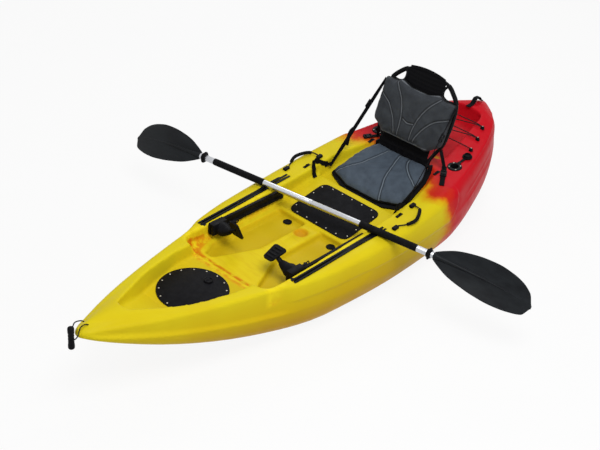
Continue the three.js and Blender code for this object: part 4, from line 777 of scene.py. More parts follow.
def neighbours_mean(mesh, values, passes):
    """Each vertex's value taken as the mean of its neighbours', several times over."""
    pairs = np.empty(len(mesh.edges) * 2, int)
    mesh.edges.foreach_get("vertices", pairs)
    a, b = pairs.reshape(-1, 2).T
    count = np.bincount(np.concatenate([a, b]), minlength=len(mesh.vertices))
    values = np.asarray(values, float).reshape(len(mesh.vertices), -1)
    for _ in range(passes):
        columns = [np.bincount(np.concatenate([a, b]), np.concatenate([v[b], v[a]]), len(count)) for v in values.T]
        values = np.stack(columns, -1) / count[:, None]
    return values


def side_panel(p):
    """How far the side stands proud, 0 to 1: the panel between the crease at the foot of the gear tracks and the one
    behind the carry handles, above the line z = 0.235, with rounded lower corners."""
    x, y, z = p.T
    front = 0.545 + 0.35 * (0.33 - z) - 1.5 * np.maximum(0, 0.29 - z) ** 1.3
    rear = -0.640 + 1.3 * np.maximum(0, 0.32 - z) ** 1.2
    inside = np.minimum(np.minimum(front - x, x - rear), z - 0.235)
    return smooth_step(inside, -0.007, 0.007) * smooth_step(np.abs(y), 0.30, 0.33)


def stern_strakes(p):
    """Two long creases down each side of the stern, each a Gauss bell across the line z = a - b x."""
    x, y, z = p.T
    fade = smooth_step(-x, 0.72, 0.80) * smooth_step(-x, 1.20, 1.10) * smooth_step(np.abs(y), 0.12, 0.2)
    above = z - (0.298 - 0.145 * (x + 0.706))
    return fade * (bell(above, 0.007) + 0.8 * bell(above + 0.045, 0.007))


def stern_share(p, normals):
    """Where the loft's facets are evened out, 0 to 1: the stern's outward sides, clear of the rod holders' bores, and
    its tip."""
    away = (normals[:, :2] * unit(p[:, :2] - [-0.70, 0.0])).sum(-1)
    bore = np.hypot(p[:, 0] - HOLDER_AT[0], np.abs(p[:, 1]) - HOLDER_AT[1])
    sides = smooth_step(-p[:, 0], 0.62, 0.80) * smooth_step(away, 0.25, 0.55) * smooth_step(bore, 0.04, 0.05)
    return np.maximum(sides, smooth_step(-p[:, 0], 1.28, 1.345))[:, None]


def hull_shell():
    """The CAD hull remeshed on a fine grid and evened out, so that every edge gets the soft radius of a rotomoulding,
    with the panel, the strakes and the cup of the mould pressed into it. The attribute "hollow" marks its inner
    corners for the orange staining and the painted shade of the corners."""
    obj = copy_of("hull")
    add(obj, "REMESH", mode="VOXEL", voxel_size=VOXEL)
    add(obj, "SMOOTH", factor=0.5, iterations=ROUNDING_PASSES)
    mesh = work_in(obj)
    p, normals = points_of(mesh), read(mesh, "normal")
    p = p + stern_share(p, normals) * (neighbours_mean(mesh, p, STERN_PASSES) - p)
    outward = normals * [0, 1, 0.3]
    p = p + outward * (PANEL_RISE * side_panel(p) + STRAKE_RISE * stern_strakes(p))[:, None]
    x, y, z = p.T
    floor = (z > 0.236) & (z < 0.256) & (normals[:, 2] > 0.5)
    r = np.hypot(x - CUP_AT[0], y - CUP_AT[1])
    p[:, 2] -= floor * CUP_DEPTH * (1 - smooth_step(r, CUP_R * CUP_FLOOR_SHARE, CUP_R))
    set_points(mesh, p)
    add(obj, "DECIMATE", ratio=min(1.0, HULL_FACES / (2 * len(mesh.polygons))))
    mesh = work_in(obj)
    bpy.data.objects.remove(obj)
    pull = neighbours_mean(mesh, points_of(mesh), 3) - points_of(mesh)
    hollow = neighbours_mean(mesh, (pull * read(mesh, "normal")).sum(-1), 5)[:, 0]
    set_values(mesh, "hollow", np.clip(hollow / FULL_HOLLOW, 0, 1))
    settle("hull_shell", mesh, "boat", "hull_polyethylene", ["hull"], sharp=180)


hull_shell()


# ---------------------------------------------------------------- plates, rails and other moulded parts

BED_WIDTH, BED_THICK, BED_DEPTH = 0.016, 0.0016, 0.004


def track_bed(side_name):
    """The dark floor of a gear track's slot: a band along the middle of the track, under its top. Both are read from
    the CAD's points near each station and evened out by polynomials."""
    p = points_of(cad_nodes["gear_track_" + side_name].data)
    x = np.linspace(p[:, 0].min() + 0.006, p[:, 0].max() - 0.006, 30)
    near = [p[np.argsort(np.abs(p[:, 0] - at))[:24]] for at in x]
    middle = [(q[:, 1].min() + q[:, 1].max()) / 2 for q in near]
    height = [q[:, 2].max() - BED_DEPTH for q in near]
    path = np.stack([x, np.polyval(np.polyfit(x, middle, 2), x), np.polyval(np.polyfit(x, height, 3), x)], -1)
    make("gear_track_bed_" + side_name, [sweep(path, strap_profile(BED_WIDTH, BED_THICK), PORT)], "boat",
         "black_plastic", sharp=50)


for side_name in SIDES:
    for node in ("foot_rail_", "pedal_lock_lever_"):
        dress(node + side_name, "black_plastic", 0.8)
    dress("gear_track_" + side_name, "black_anodised", 0.35)
    track_bed(side_name)
    dress("strap_buckle_rear_" + side_name, "black_plastic", 1.2)
    for node in ("seat_eye_front_", "seat_eye_rear_", "deck_eye_"):
        dress(node + side_name, "black_plastic", 0.7, sharp=50)
    for node in ("carry_handle_anchor_front_", "carry_handle_anchor_rear_"):
        dress(node + side_name, "black_plastic", 3.2, steps=3)
dress("bow_hatch_plate", "plate_plastic", 1.2)
dress("centre_deck_plate", "plate_plastic", 1.2)
dress("seat_board", "black_plastic", 2.4)


def slab(x, y, z, edge=0.0012):
    """A block between two places each along x, y and z, with its upright edges rounded: rings of a superellipse that
    shrink by edge at the top and the foot."""
    (x0, x1), (y0, y1), (z0, z1) = x, y, z
    foot = superellipse(1, 1, 0.25, 0.25, 32)
    rings = []
    for height, less in ((z0, edge), (z0 + edge, 0), (z1 - edge, 0), (z1, edge)):
        ring = foot * [(x1 - x0) / 2 - less, (y1 - y0) / 2 - less] + [(x1 + x0) / 2, (y1 + y0) / 2]
        rings.append(np.concatenate([ring, np.full((len(ring), 1), height)], -1))
    return np.stack(rings)


# Foot braces: x and z of the pad's middle and of the arm's root, as the CAD has them
PAD_X, PAD_Z, ARM_X, ARM_Z = 0.394, 0.348, 0.386, 0.297
PAD_TURN = {"port": 0.0, "starboard": -0.5}
# Size of the socket by the share of the way from the arm's root to the pad
SOCKET_SIZES = [[0, 1.5], [0.2, 1.45], [0.42, 1.05], [0.55, 0.85], [0.66, 0.62]]
SOCKET_R, PULL_RING_R, PULL_RING_WIRE_R = 0.021, 0.0095, 0.0026


def foot_pedal(side_name, side):
    """The pedal with its pad turned on about its own middle, and a thick socket round the arm's foot."""
    node = "foot_pedal_" + side_name
    y = np.abs(points_of(cad_nodes[node].data)[:, 1])
    pad_y, carriage_y = y.min() + 0.037, y.max() - 0.034

    def turn_pad(p):
        turn = PAD_TURN[side_name] * smooth_step(np.abs(np.abs(p[:, 1]) - pad_y), 0.046, 0.038)
        c, s = np.cos(turn), np.sin(turn)
        dx, dz = p[:, 0] - PAD_X, p[:, 2] - PAD_Z
        return np.stack([PAD_X + dx * c + dz * s, p[:, 1], PAD_Z - dx * s + dz * c], -1)

    dress(node, "black_plastic", 2.0, move=turn_pad, steps=3)
    t = np.linspace(0, SOCKET_SIZES[-1][0], 40)
    path = np.stack([ARM_X + (PAD_X - ARM_X) * t - 0.006 * (1 - t), side * (carriage_y + (pad_y - carriage_y) * t),
                     ARM_Z + (PAD_Z - ARM_Z) * t ** 2], -1)
    ring = circle(SOCKET_R, 28) * [1.15, 1.0] * table_at(SOCKET_SIZES, t)[:, None, None]
    make("foot_pedal_socket_" + side_name, [sweep(path, ring, FORWARD)], body_of[node], "black_plastic", sharp=45)


def rail_lip(side_name, side):
    """A lip along a foot rail that closes its notches in front."""
    rail = points_of(cad_nodes["foot_rail_" + side_name].data)
    face, foot = np.abs(rail[:, 1]).min(), rail[:, 2].min()
    lip = slab((rail[:, 0].min() + 0.004, rail[:, 0].max() - 0.004), (face + 0.0004, face + 0.0046),
               (foot + 0.0004, foot + 0.0085), 0.0006)
    make("foot_rail_lip_" + side_name, [lip * [1, side, 1]], "boat", "black_plastic", sharp=40)


def pull_ring(side_name, side):
    """The ring at the aft end of a pedal's lock lever."""
    lever = "pedal_lock_lever_" + side_name
    x, y, z = points_of(cad_nodes[lever].data).T
    a = np.linspace(0, 2 * np.pi, 49)
    middle = [x.min() - 0.006, side * np.abs(y).mean(), z.mean()]
    hoop = middle + PULL_RING_R * np.stack([np.cos(a), 0 * a, np.sin(a)], -1)
    make("pedal_lock_ring_" + side_name, [sweep(hoop, circle(PULL_RING_WIRE_R, 12), PORT)], body_of[lever],
         "black_plastic", sharp=60)


# The bow plate is an oval; the thwart's plate is a rounded rectangle that slopes down forward
OVAL_X, OVAL_HALF_X, OVAL_HALF_Y, OVAL_Z, OVAL_SCREWS = 0.764, 0.144, 0.145, 0.2664, 16
PLATE_AT = np.array([-0.155, 0, 0.27475])
PLATE_TILT = math.atan(0.155)
PLATE_THICK, PLATE_SCREWS = 0.0044, 18


def plate_screws():
    """Screws 13 mm inside each plate's rim, evenly round it."""
    turn = np.linspace(0, 2 * np.pi, 721)
    oval = np.stack([OVAL_X + OVAL_HALF_X * np.cos(turn), OVAL_HALF_Y * np.sin(turn)], -1)
    oval = even(oval, OVAL_SCREWS + 1)[:-1]
    screws("bow_plate_screws", np.concatenate([oval, np.full((OVAL_SCREWS, 1), OVAL_Z)], 1), Z_UP, "boat")
    rim = rounded(np.array([[1, -1], [1, 1], [-1, 1], [-1, -1]]) * [0.121, 0.170], 0.036, 12, closed=True)
    rim = even(np.concatenate([rim, rim[:1]]), PLATE_SCREWS + 1)[:-1]
    c, s = math.cos(PLATE_TILT), math.sin(PLATE_TILT)
    along, normal = np.array([c, 0, -s]), np.array([s, 0, c])
    spots = PLATE_AT + rim[:, :1] * along + rim[:, 1:] * PORT + PLATE_THICK * normal
    screws("thwart_plate_screws", spots, normal, "boat")


plate_screws()

CAP_AT = np.array([0.672, 0, 0.2666])
CAP_PROFILE = [[0.0, 0.0048], [0.004, 0.0048], [0.0125, 0.0046], [0.0140, 0.0052], [0.0152, 0.0068], [0.0190, 0.0070],
               [0.0205, 0.0060], [0.0210, 0.0030], [0.0210, 0.0]]


def inspection_cap():
    """A lathe profile with a raised rim and a sunk middle, where a groove along x leaves a finger scallop on each side
    of the centre."""
    shape = lathe(even(rounded(CAP_PROFILE, 0.001), 60), 64, CAP_AT, Z_UP)
    dx, dy, _ = (shape - CAP_AT).transpose(2, 0, 1)
    scallops = bell(dy, 0.004) * smooth_step(np.abs(dx), 0.002, 0.006) * (np.hypot(dx, dy) < 0.0135)
    shape[..., 2] -= 0.0026 * scallops
    make("inspection_cap_turned", [shape], "bow_cap", "black_plastic", ["bow_inspection_cap"], sharp=40)


inspection_cap()

# Rod holders: the parts of revolution are turned about the holder's own leaning axis. Profiles are (radius, height)
HOLDER_LEAN = 0.139
HOLDER_AXIS = np.array([math.sin(HOLDER_LEAN), 0, math.cos(HOLDER_LEAN)])
HOLDER_FORE = np.array([math.cos(HOLDER_LEAN), 0, -math.sin(HOLDER_LEAN)])
HOLDER_PROFILE = [[0.0, -0.1875], [0.020, -0.1875], [0.020, 0.004], [0.0212, 0.0052], [0.0330, 0.0050],
                  [0.0362, 0.0035], [0.0370, 0.0010], [0.0370, 0.0006], [0.0226, 0.0006], [0.0225, -0.190],
                  [0.0, -0.190]]
HOLDER_CAP_PROFILE = [[0.0, 0.0016], [0.0235, 0.0016], [0.025, 0.0028], [0.025, 0.0080], [0.0238, 0.0088],
                      [0.0184, 0.0088], [0.0180, 0.0094], [0.0186, 0.0120], [0.0178, 0.0136], [0.0186, 0.0158],
                      [0.0170, 0.0188], [0.0150, 0.0188], [0.0140, 0.0120], [0.0, 0.0116]]
HOLDER_CAP_X, HOLDER_SCREWS_R = -0.106, 0.0288
PLUG_AT = np.array([0.022, 0.138, 0.220])
PLUG_PROFILE = [[0, -0.022], [0.0115, -0.022], [0.0138, -0.0165], [0.0128, -0.014], [0.0142, -0.0080],
                [0.0130, -0.0055], [0.0134, 0.0004], [0.0216, 0.0004], [0.0220, 0.0014], [0.0216, 0.0034],
                [0.0190, 0.0048], [0.0100, 0.0048], [0.0060, 0.0034], [0, 0.0034]]


def in_holder(p, side):
    """Points of the holder's own frame, x forward along the deck and z up its bore, in the row frame."""
    p = np.asarray(p, float)
    return HOLDER_AT * [1, side, 1] + p[..., :1] * HOLDER_FORE + p[..., 1:2] * PORT + p[..., 2:] * HOLDER_AXIS


def rod_holder(side_name, side):
    """An open tube with a flange under four screws, and its cap, each with its half of the strap between them."""
    holder = lathe(rounded(HOLDER_PROFILE, 0.0012), 64, in_holder([0, 0, 0], side), HOLDER_AXIS, HOLDER_FORE)
    tab = in_holder(slab((-0.0524, -0.0290), (-0.008, 0.008), (0.0016, 0.0061)), side)
    make("rod_holder_moulded_" + side_name, [holder, tab], "boat", "black_plastic", ["rod_holder_" + side_name],
         sharp=35)
    turn = np.linspace(0, 2 * np.pi, 5)[:-1] + np.pi / 4
    spots = np.stack([HOLDER_SCREWS_R * np.cos(turn), HOLDER_SCREWS_R * np.sin(turn), np.full(4, 0.0051)], -1)
    screws("rod_holder_screws_" + side_name, in_holder(spots, side), HOLDER_AXIS, "boat", size=0.9)
    cap_at = in_holder([HOLDER_CAP_X, 0, 0], side)
    cap = lathe(rounded(HOLDER_CAP_PROFILE, 0.0008), 64, cap_at, HOLDER_AXIS, HOLDER_FORE)
    hinge = in_holder(slab((-0.0885, -0.0542), (-0.0072, 0.0072), (0.0016, 0.0056)), side)
    make("rod_cap_moulded_" + side_name, [cap, hinge], "rod_cap_" + side_name, "black_rubber",
         ["rod_holder_cap_" + side_name], sharp=35)


def scupper_plug(side_name, side):
    """A ribbed stem under a dished head."""
    shape = lathe(rounded(PLUG_PROFILE, 0.0010), 48, PLUG_AT * [1, side, 1], Z_UP)
    make("scupper_plug_moulded_" + side_name, [shape], "plug_" + side_name, "black_rubber",
         ["scupper_plug_" + side_name], sharp=40)


for side_name, side in SIDES.items():
    for build in (foot_pedal, rail_lip, pull_ring, rod_holder, scupper_plug):
        build(side_name, side)


# ---------------------------------------------------------------- straps and webbing

STRAP_WIDTH, STRAP_THICK = 0.025, 0.0024
# How far a front strap is turned about its own run, and how much of a rear strap's tail there is
FRONT_STRAP_TURN = {"port": 0.40, "starboard": -0.22}
TAIL_SHARE = {"port": 1.0, "starboard": 0.55}
BACK_HINGE = np.array([-0.668, 0, 0.404])
BACK_UP = np.array([-math.sin(BACK_LEAN), 0, math.cos(BACK_LEAN)])
BACK_FRONT = np.array([math.cos(BACK_LEAN), 0, math.sin(BACK_LEAN)])


def back_point(out, up, front):
    """The back's own frame, out to port, up along it and front, in the row frame: it leans about the hinge."""
    out, up, front = (np.asarray(v, float)[..., None] for v in (out, up, front))
    return BACK_HINGE + out * PORT + up * BACK_UP + front * BACK_FRONT


def bend(foot, top):
    return "boat", "backrest", tuple(foot), tuple(top)


def front_strap_ends(side):
    return np.array([-0.388, side * 0.240, 0.331]), back_point(side * 0.2153, 0.326, 0.0246)


def webbing(name, runs, width, body, nodes=(), thick=STRAP_THICK):
    """Flat bands, each along its own path with its width held across: a superellipse outline carried along."""
    grids = [sweep(path, strap_profile(width, thick), across) for path, across in runs]
    make(name, grids, body, "black_webbing", nodes, sharp=50)


def front_strap(side_name, side):
    """A strap from its eye up to the back's tube, a little slack, with its buckle."""
    foot, top = front_strap_ends(side)
    run = top - foot
    across = unit(np.array([side * run[2], 0, -side * run[0]]))
    share = np.linspace(0, 1, 60)[:, None]
    slack = np.sin(np.pi * share) ** 2 * [0, side * 0.0012, -0.003]
    turn = FRONT_STRAP_TURN[side_name] * smooth_step(share, 0.02, 0.25) * smooth_step(share, 0.98, 0.75)
    twist = unit(across + turn * unit(np.cross(run, across)))
    webbing("front_strap_" + side_name, [(foot + share * run + slack, twist)], STRAP_WIDTH, bend(foot, top),
            ["seat_strap_front_" + side_name])
    dress("strap_buckle_front_" + side_name, "black_plastic", 1.2, bends=bend(foot, top))


def rear_strap(side_name, side):
    """A strap from the back's tube down to its eye, and its tail, which lies on the deck in two low ripples."""
    top = back_point(side * 0.1955, 0.100, 0.0)
    foot = np.array([-0.724, side * 0.214, 0.39941])
    tail_end = np.array([-0.596, side * 0.294, 0.38650])
    webbing("rear_strap_" + side_name, [(even([top, foot], 24), FORWARD)], STRAP_WIDTH, bend(foot, top),
            ["seat_strap_rear_" + side_name])
    start = foot + unit(foot - tail_end) * 0.0125
    run = tail_end - start
    tail = even([start, start + run * TAIL_SHARE[side_name]], 60)
    s = np.linspace(0, 1, 60)
    tail[:, 2] += 0.0016 * np.sin(s * 3 * np.pi) ** 2 * (s > 0.33)
    webbing("rear_strap_tail_" + side_name, [(tail, unit(np.array([-run[1], run[0], 0])))], STRAP_WIDTH, "boat")


for side_name, side in SIDES.items():
    front_strap(side_name, side)
    rear_strap(side_name, side)


hull_tree = BVHTree.FromPolygons(
    [tuple(p) for p in points_of(cad_nodes["hull"].data)],
    [tuple(p.vertices) for p in cad_nodes["hull"].data.polygons],
)
# Half width of the seat well, for where no wall is met
WELL_HALF = 0.27


def wall_at(x, z, side):
    """How far out the seat well's wall is at a place, found from the middle outward."""
    hit = hull_tree.ray_cast(Vector((x, 0.0, z)), Vector((0.0, side, 0.0)))[0]
    return hit.y if hit else side * WELL_HALF


def evened(values, passes=8):
    """A row of numbers, each taken as the mean of itself and its neighbours, several times over."""
    values = np.asarray(values, float)
    for _ in range(passes):
        values = np.concatenate([values[:1], (values[:-2] + values[1:-1] + values[2:]) / 3, values[-1:]])
    return values


def wall_strap(side_name, side):
    """The loose end of a front strap: from its eye it runs forward up the well's wall, folds, and hangs down it."""
    climb = even([[-0.384, 0.338], [-0.352, 0.352], [-0.320, 0.370], [-0.292, 0.386]], 40)
    drop = even([[-0.287, 0.392], [-0.286, 0.360], [-0.287, 0.330], [-0.290, 0.298]], 30)
    runs = []
    for line, off_wall in ((climb, 0.0030), (drop, 0.0056)):
        wall = evened([wall_at(x, z, side) for x, z in line])
        path = np.stack([line[:, 0], wall - side * off_wall, line[:, 1]], -1)
        runs.append((path, unit(np.cross(run_of(path), [0.0, side, 0.0]))))
    webbing("front_strap_tail_" + side_name, runs, 0.026, "boat")


def hanging_end():
    """The free end of the starboard front strap: it leaves the band 0.41 of the way up and hangs, a little curled."""
    path = curve_through([[-0.538, -0.2325, 0.498], [-0.522, -0.2365, 0.486], [-0.512, -0.2385, 0.462],
                          [-0.505, -0.2375, 0.436], [-0.501, -0.2395, 0.410]], 40)
    across = np.array([-0.52, 0.85, -0.05])
    webbing("front_strap_end_starboard", [(path, across)], 0.019, bend(*front_strap_ends(SIDES["starboard"])))


for side_name, side in SIDES.items():
    wall_strap(side_name, side)
hanging_end()

# Stern grab: its middle, its half length, and the deck's height by the share of that half
GRAB_X, GRAB_HALF, GRAB_WIDTH, GRAB_THICK = -1.262, 0.064, 0.027, 0.0040
GRAB_DECK = np.array([[-1, 0.4959], [-0.625, 0.4979], [0, 0.50005], [0.3, 0.4995], [1, 0.4964]])


def over_stern(share, above):
    """Points of the centreline above the stern's deck, by the share of the grab's half length."""
    share = np.asarray(share, float)
    return np.stack([GRAB_X + share * GRAB_HALF, 0 * share, np.interp(share, *GRAB_DECK.T) + above], -1)


def stern_grab():
    """Doubled webbing along the centreline: flat feet under a screw each and a low arch between them."""
    share = np.linspace(-1, 1, 90)
    arch = 0.026 * smooth_step(0.64 - np.abs(share + 0.26), 0, 0.45)
    webbing("stern_grab_webbing", [(over_stern(share, 0.0026 + arch), PORT)], GRAB_WIDTH, "boat", ["stern_handle"],
            GRAB_THICK)
    screws("stern_grab_screws", over_stern([-0.94, 0.78], 0.0044), Z_UP, "boat", "black_plastic", 1.3)


stern_grab()


# ---------------------------------------------------------------- seat

SEAT_ORIGIN = np.array([-0.328, 0, 0.273])
SEAT_ALONG = np.array([math.cos(SEAT_TILT), 0, -math.sin(SEAT_TILT)])
SEAT_UP = np.array([math.sin(SEAT_TILT), 0, math.cos(SEAT_TILT)])
# Height of the board or panel that each cover lies on
SEAT_BASE, BACK_BASE = 0.0108, 0.0128
PAD_VOXEL, AIR_PRESSURE, CLOTH_FRAMES = 0.005, 4.0, 20
# The pad is made this much smaller before it is swelled
PAD_SHRINK = 0.985


def line_distance(p, line):
    """Distance of each point of the plane from a polyline: the least over its pieces, each by its nearest point."""
    a, b = line[:-1], line[1:]
    d = b - a
    t = np.clip(((p[:, None] - a) * d).sum(-1) / (d * d).sum(-1), 0, 1)
    near = a + t[..., None] * d
    return np.linalg.norm(p[:, None] - near, axis=-1).min(1)


def swell(obj, cap):
    """Cloth with air pressure inside and no gravity, as a stuffed cover takes its shape; no point moves beyond cap."""
    add(obj, "REMESH", mode="VOXEL", voxel_size=PAD_VOXEL)
    add(obj, "SMOOTH", iterations=4)
    mesh = work_in(obj)
    before = points_of(mesh)
    cloth = add(obj, "CLOTH")
    cloth.settings.use_pressure = True
    cloth.settings.uniform_pressure_force = AIR_PRESSURE
    cloth.settings.effector_weights.gravity = 0
    cloth.settings.quality = 5
    cloth.collision_settings.use_collision = False
    cloth.point_cache.frame_end = CLOTH_FRAMES
    for step in range(1, CLOTH_FRAMES + 1):
        bpy.context.scene.frame_set(step)
    mesh = work_in(obj)
    bpy.context.scene.frame_set(1)
    moved = points_of(mesh) - before
    reach = np.linalg.norm(moved, axis=1, keepdims=True)
    set_points(mesh, before + moved * np.minimum(1, cap / np.maximum(reach, 1e-9)))
    add(obj, "SUBSURF", levels=1, render_levels=1)
    return work_in(obj)


def cushion(node_name, name, body, finish, origin, along, up, base, seams, piping, groove, rim, tufts, cap, reshape):
    """A padded cover: the CAD pad swelled, redrawn in its own plane by reshape and held flat on its base, with its
    channels pressed in along the seams, raised stitching beside them, and its rim bound. A pale line along each seam
    and piping is paler stitching with a painted highlight on it, and the crease beside each seam takes painted shade.
    seams and piping are lines in the cushion's own plane."""
    obj = copy_of(node_name)
    p = points_of(obj.data)
    mid = p.mean(0)
    set_points(obj.data, mid + (p - mid) * PAD_SHRINK)
    mesh = swell(obj, cap)
    p = points_of(mesh)
    flat = np.stack([(p - origin) @ PORT, (p - origin) @ along], -1)
    moved = reshape(*flat.T)
    p = p + (moved - flat) @ np.stack([PORT, along])
    height = (p - origin) @ up
    face = smooth_step(read(mesh, "normal") @ up, 0.1, 0.6)
    pressed, stitch_and_highlight, crease = np.zeros((3, len(p)))
    for line in seams:
        d = line_distance(moved, curve_through(line, 24))
        pressed += groove * bell(d, 0.0065)
        # Pale line on the seam: paler stitching with a painted highlight on it
        stitch_and_highlight = np.maximum(stitch_and_highlight, bell(d, 0.0021))
        # Painted shade in the crease beside the seam
        crease = np.maximum(crease, bell(d - 0.0058, 0.0028))
    for line in piping:
        d = line_distance(moved, curve_through(line, 24))
        pressed -= 0.0018 * bell(d, 0.0030)
        # Pale line on the piping: paler stitching with a painted highlight on it
        stitch_and_highlight = np.maximum(stitch_and_highlight, bell(d, 0.0024))
    x, y = moved.T
    wrinkle = tufts * np.sin(x * 96 + 3 * np.sin(y * 31)) * np.sin(y * 60 + 2 * np.sin(x * 23))
    held = np.maximum(height - face * (pressed + wrinkle), base)
    set_points(mesh, p + (held - height)[:, None] * up)
    set_values(mesh, "seam", stitch_and_highlight * face)
    set_values(mesh, "crease", crease * face)
    set_values(mesh, "binding", 1 - smooth_step((height - base) / (height.max() - base), rim, rim + 0.12))
    bpy.data.objects.remove(obj)
    piece = settle(name, mesh, body, finish, [node_name], sharp=180)
    return piece


def both_sides(line):
    return [np.array(line), np.array(line) * [-1, 1]]


# Lines in metres: out to port, then forward along the seat or up the back
SEAT_SEAMS = [[[-0.196, -0.060], [-0.160, -0.118], [-0.118, -0.180], [-0.090, -0.250], [-0.058, -0.338]],
              [[0.112, -0.028], [0.080, -0.090], [0.044, -0.165], [0.020, -0.262], [0.004, -0.338]],
              [[0.190, -0.205], [0.140, -0.236], [0.100, -0.268], [0.072, -0.305], [0.060, -0.340]]]
BACK_SEAMS = [*both_sides([[0.207, 0.262], [0.140, 0.226], [0.094, 0.172], [0.070, 0.125], [0.060, 0.094]]),
              *both_sides([[0.132, 0.338], [0.079, 0.272], [0.050, 0.205], [0.040, 0.150], [0.038, 0.094]]),
              [[-0.030, 0.180], [0.0, 0.170], [0.034, 0.176]]]
BACK_PIPING = [[[-0.124, 0.354], [-0.055, 0.338], [0.0, 0.334], [0.055, 0.338], [0.124, 0.354]],
               [[-0.150, 0.082], [-0.06, 0.083], [0.06, 0.084], [0.145, 0.086]]]


def seat_rear(out, along):
    """The seat's cover drawn 14 mm further aft at its rear edge."""
    return np.stack([out, along - 0.014 * smooth_step(-along, 0.24, 0.33)], -1)


def back_shoulders(out, up):
    """The back's cover drawn out over the tube by a twentieth, up to 13 mm higher at the shoulders, and 11 mm lower
    at its foot."""
    wider = out * (1 + 0.045 * smooth_step(up, 0.09, 0.16))
    higher = up + 0.013 * smooth_step(np.abs(out), 0.135, 0.175) * smooth_step(up, 0.25, 0.315)
    higher -= 0.011 * smooth_step(-up, -0.135, -0.080)
    return np.stack([wider, higher], -1)


seat = cushion("seat_pad", "seat_cushion", "boat", "grey_seat_cloth", SEAT_ORIGIN, SEAT_ALONG, SEAT_UP, SEAT_BASE,
               SEAT_SEAMS, (), groove=0.0046, rim=0.42, tufts=0.0018, cap=0.006, reshape=seat_rear)
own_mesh(seat)
cushion("backrest_pad", "back_cushion", "backrest", "dark_back_cloth", BACK_HINGE, BACK_UP, BACK_FRONT, BACK_BASE,
        BACK_SEAMS, BACK_PIPING, groove=0.0040, rim=0.30, tufts=0.0014, cap=0.007, reshape=back_shoulders)

# Places in the plane of the back: out to port, then up from the hinge
BACK_TUBE = [[0.149, 0.004], [0.150, 0.028], [0.170, 0.074], [0.196, 0.128], [0.206, 0.200], [0.207, 0.290],
             [0.201, 0.330], [0.184, 0.358], [0.162, 0.381], [0.138, 0.402], [0.112, 0.414], [0.056, 0.421]]
BACK_TUBE_R, HINGE_OUT = 0.009, 0.149
HOLD_RIM = np.array([[0.128, 0.407], [0.117, 0.392], [0.114, 0.370], [0.122, 0.351], [0.144, 0.341], [0.170, 0.341],
                     [0.194, 0.343]])
HOLD_RIM_R = 0.0062
# Profiles of (radius, place along the hinge)
BARREL_PROFILE = [[0.0055, -0.011], [0.0084, -0.011], [0.009, -0.0104], [0.009, 0.0104], [0.0084, 0.011],
                  [0.0055, 0.011], [0.0055, -0.011]]
PIN_PROFILE = [[0, -0.1741], [0.0046, -0.1741], [0.005, -0.1736], [0.005, 0.1736], [0.0046, 0.1741], [0, 0.1741]]


def bar_of_back(path, radius, sides):
    """A round bar along a path that lies about in the plane of the back."""
    return sweep(path, circle(radius, sides), np.cross(BACK_FRONT, run_of(path)))


def back_frame():
    """The bent tube: the line through its bends, mirrored, in the plane of the back, with two hinge barrels at its
    feet, a foam sleeve and a rim at each hand hold, and the hinge's pin."""
    half = np.array(BACK_TUBE)
    line = curve_through(np.concatenate([half, half[::-1] * [-1, 1]]), 300)
    path = back_point(*line.T, 0.0)
    barrels = [lathe(BARREL_PROFILE, 40, BACK_HINGE + side * HINGE_OUT * PORT, PORT, Z_UP) for side in (1, -1)]
    make("backrest_frame_tube", [bar_of_back(path, BACK_TUBE_R, 24), *barrels], "backrest", "black_anodised",
         ["backrest_frame"], sharp=45)
    for side_name, side in SIDES.items():
        held = (np.sign(line[:, 0]) == side) & (line[:, 1] > 0.335) & (np.abs(line[:, 0]) > 0.122)
        radius = 0.0093 + 0.0022 * smooth_step(from_ends(70), -0.02, 0.03)
        make("hand_hold_sleeve_" + side_name, [bar_of_back(even(path[held], 70), radius, 28)], "backrest",
             "black_rubber", sharp=50)
        rim = curve_through(HOLD_RIM * [side, 1], 60)
        rim = back_point(*rim.T, 0.0135 - 0.008 * np.abs(np.linspace(-1, 1, 60)) ** 3)
        make("hand_hold_rim_" + side_name, [bar_of_back(rim, HOLD_RIM_R, 20)], "backrest", "black_rubber", sharp=50)
    make("backrest_pin_turned", [lathe(PIN_PROFILE, 32, BACK_HINGE, PORT, Z_UP)], "boat", "black_anodised",
         ["backrest_pin"], sharp=40)


# The mesh: its foot, height and thickness, how far its top edge is crowned, and its half width by height
MESH_FOOT, MESH_HEIGHT, MESH_THICK, MESH_CROWN = 0.020, 0.413, 0.0014, 0.013
MESH_HALVES = [[0.0, 0.143], [0.13, 0.143], [0.22, 0.184], [0.30, 0.205], [0.70, 0.207], [0.745, 0.196],
               [0.78, 0.152], [0.83, 0.118], [0.96, 0.113], [1.0, 0.104]]


def back_cloth():
    """The mesh stretched over the back's tube: a sheet that follows the outline of the panel, sags back by up to 4 mm
    between its edges as 1 - x^2, and has a hem at its foot and its top."""
    rows = np.linspace(0, 1, 90)
    half = table_at(MESH_HALVES, rows)
    up = MESH_FOOT + rows * MESH_HEIGHT
    across = np.linspace(-1, 1, 61)
    bow = 1 - across ** 2
    out = half[:, None] * across
    front = 0.0118 - 0.004 * bow * np.sin(np.pi * rows)[:, None]
    lift = up[:, None] + MESH_CROWN * bow * rows[:, None] ** 6
    sheet = np.concatenate([back_point(out, lift, front), back_point(out, lift, front - MESH_THICK)[:, ::-1]], 1)
    piece = make("back_mesh_panel", [sheet], "backrest", "black_mesh", ["backrest_mesh"], sharp=50)
    hems = []
    for edge, inward, crown in ((0, 0.006, 0.0), (-1, -0.006, MESH_CROWN)):
        line = back_point(half[edge] * across, up[edge] + inward + crown * bow, 0.0128)
        hems.append(sweep(line, strap_profile(0.016, 0.0022), BACK_UP))
    hem = make("back_mesh_hems", hems, "backrest", "black_webbing", sharp=50)


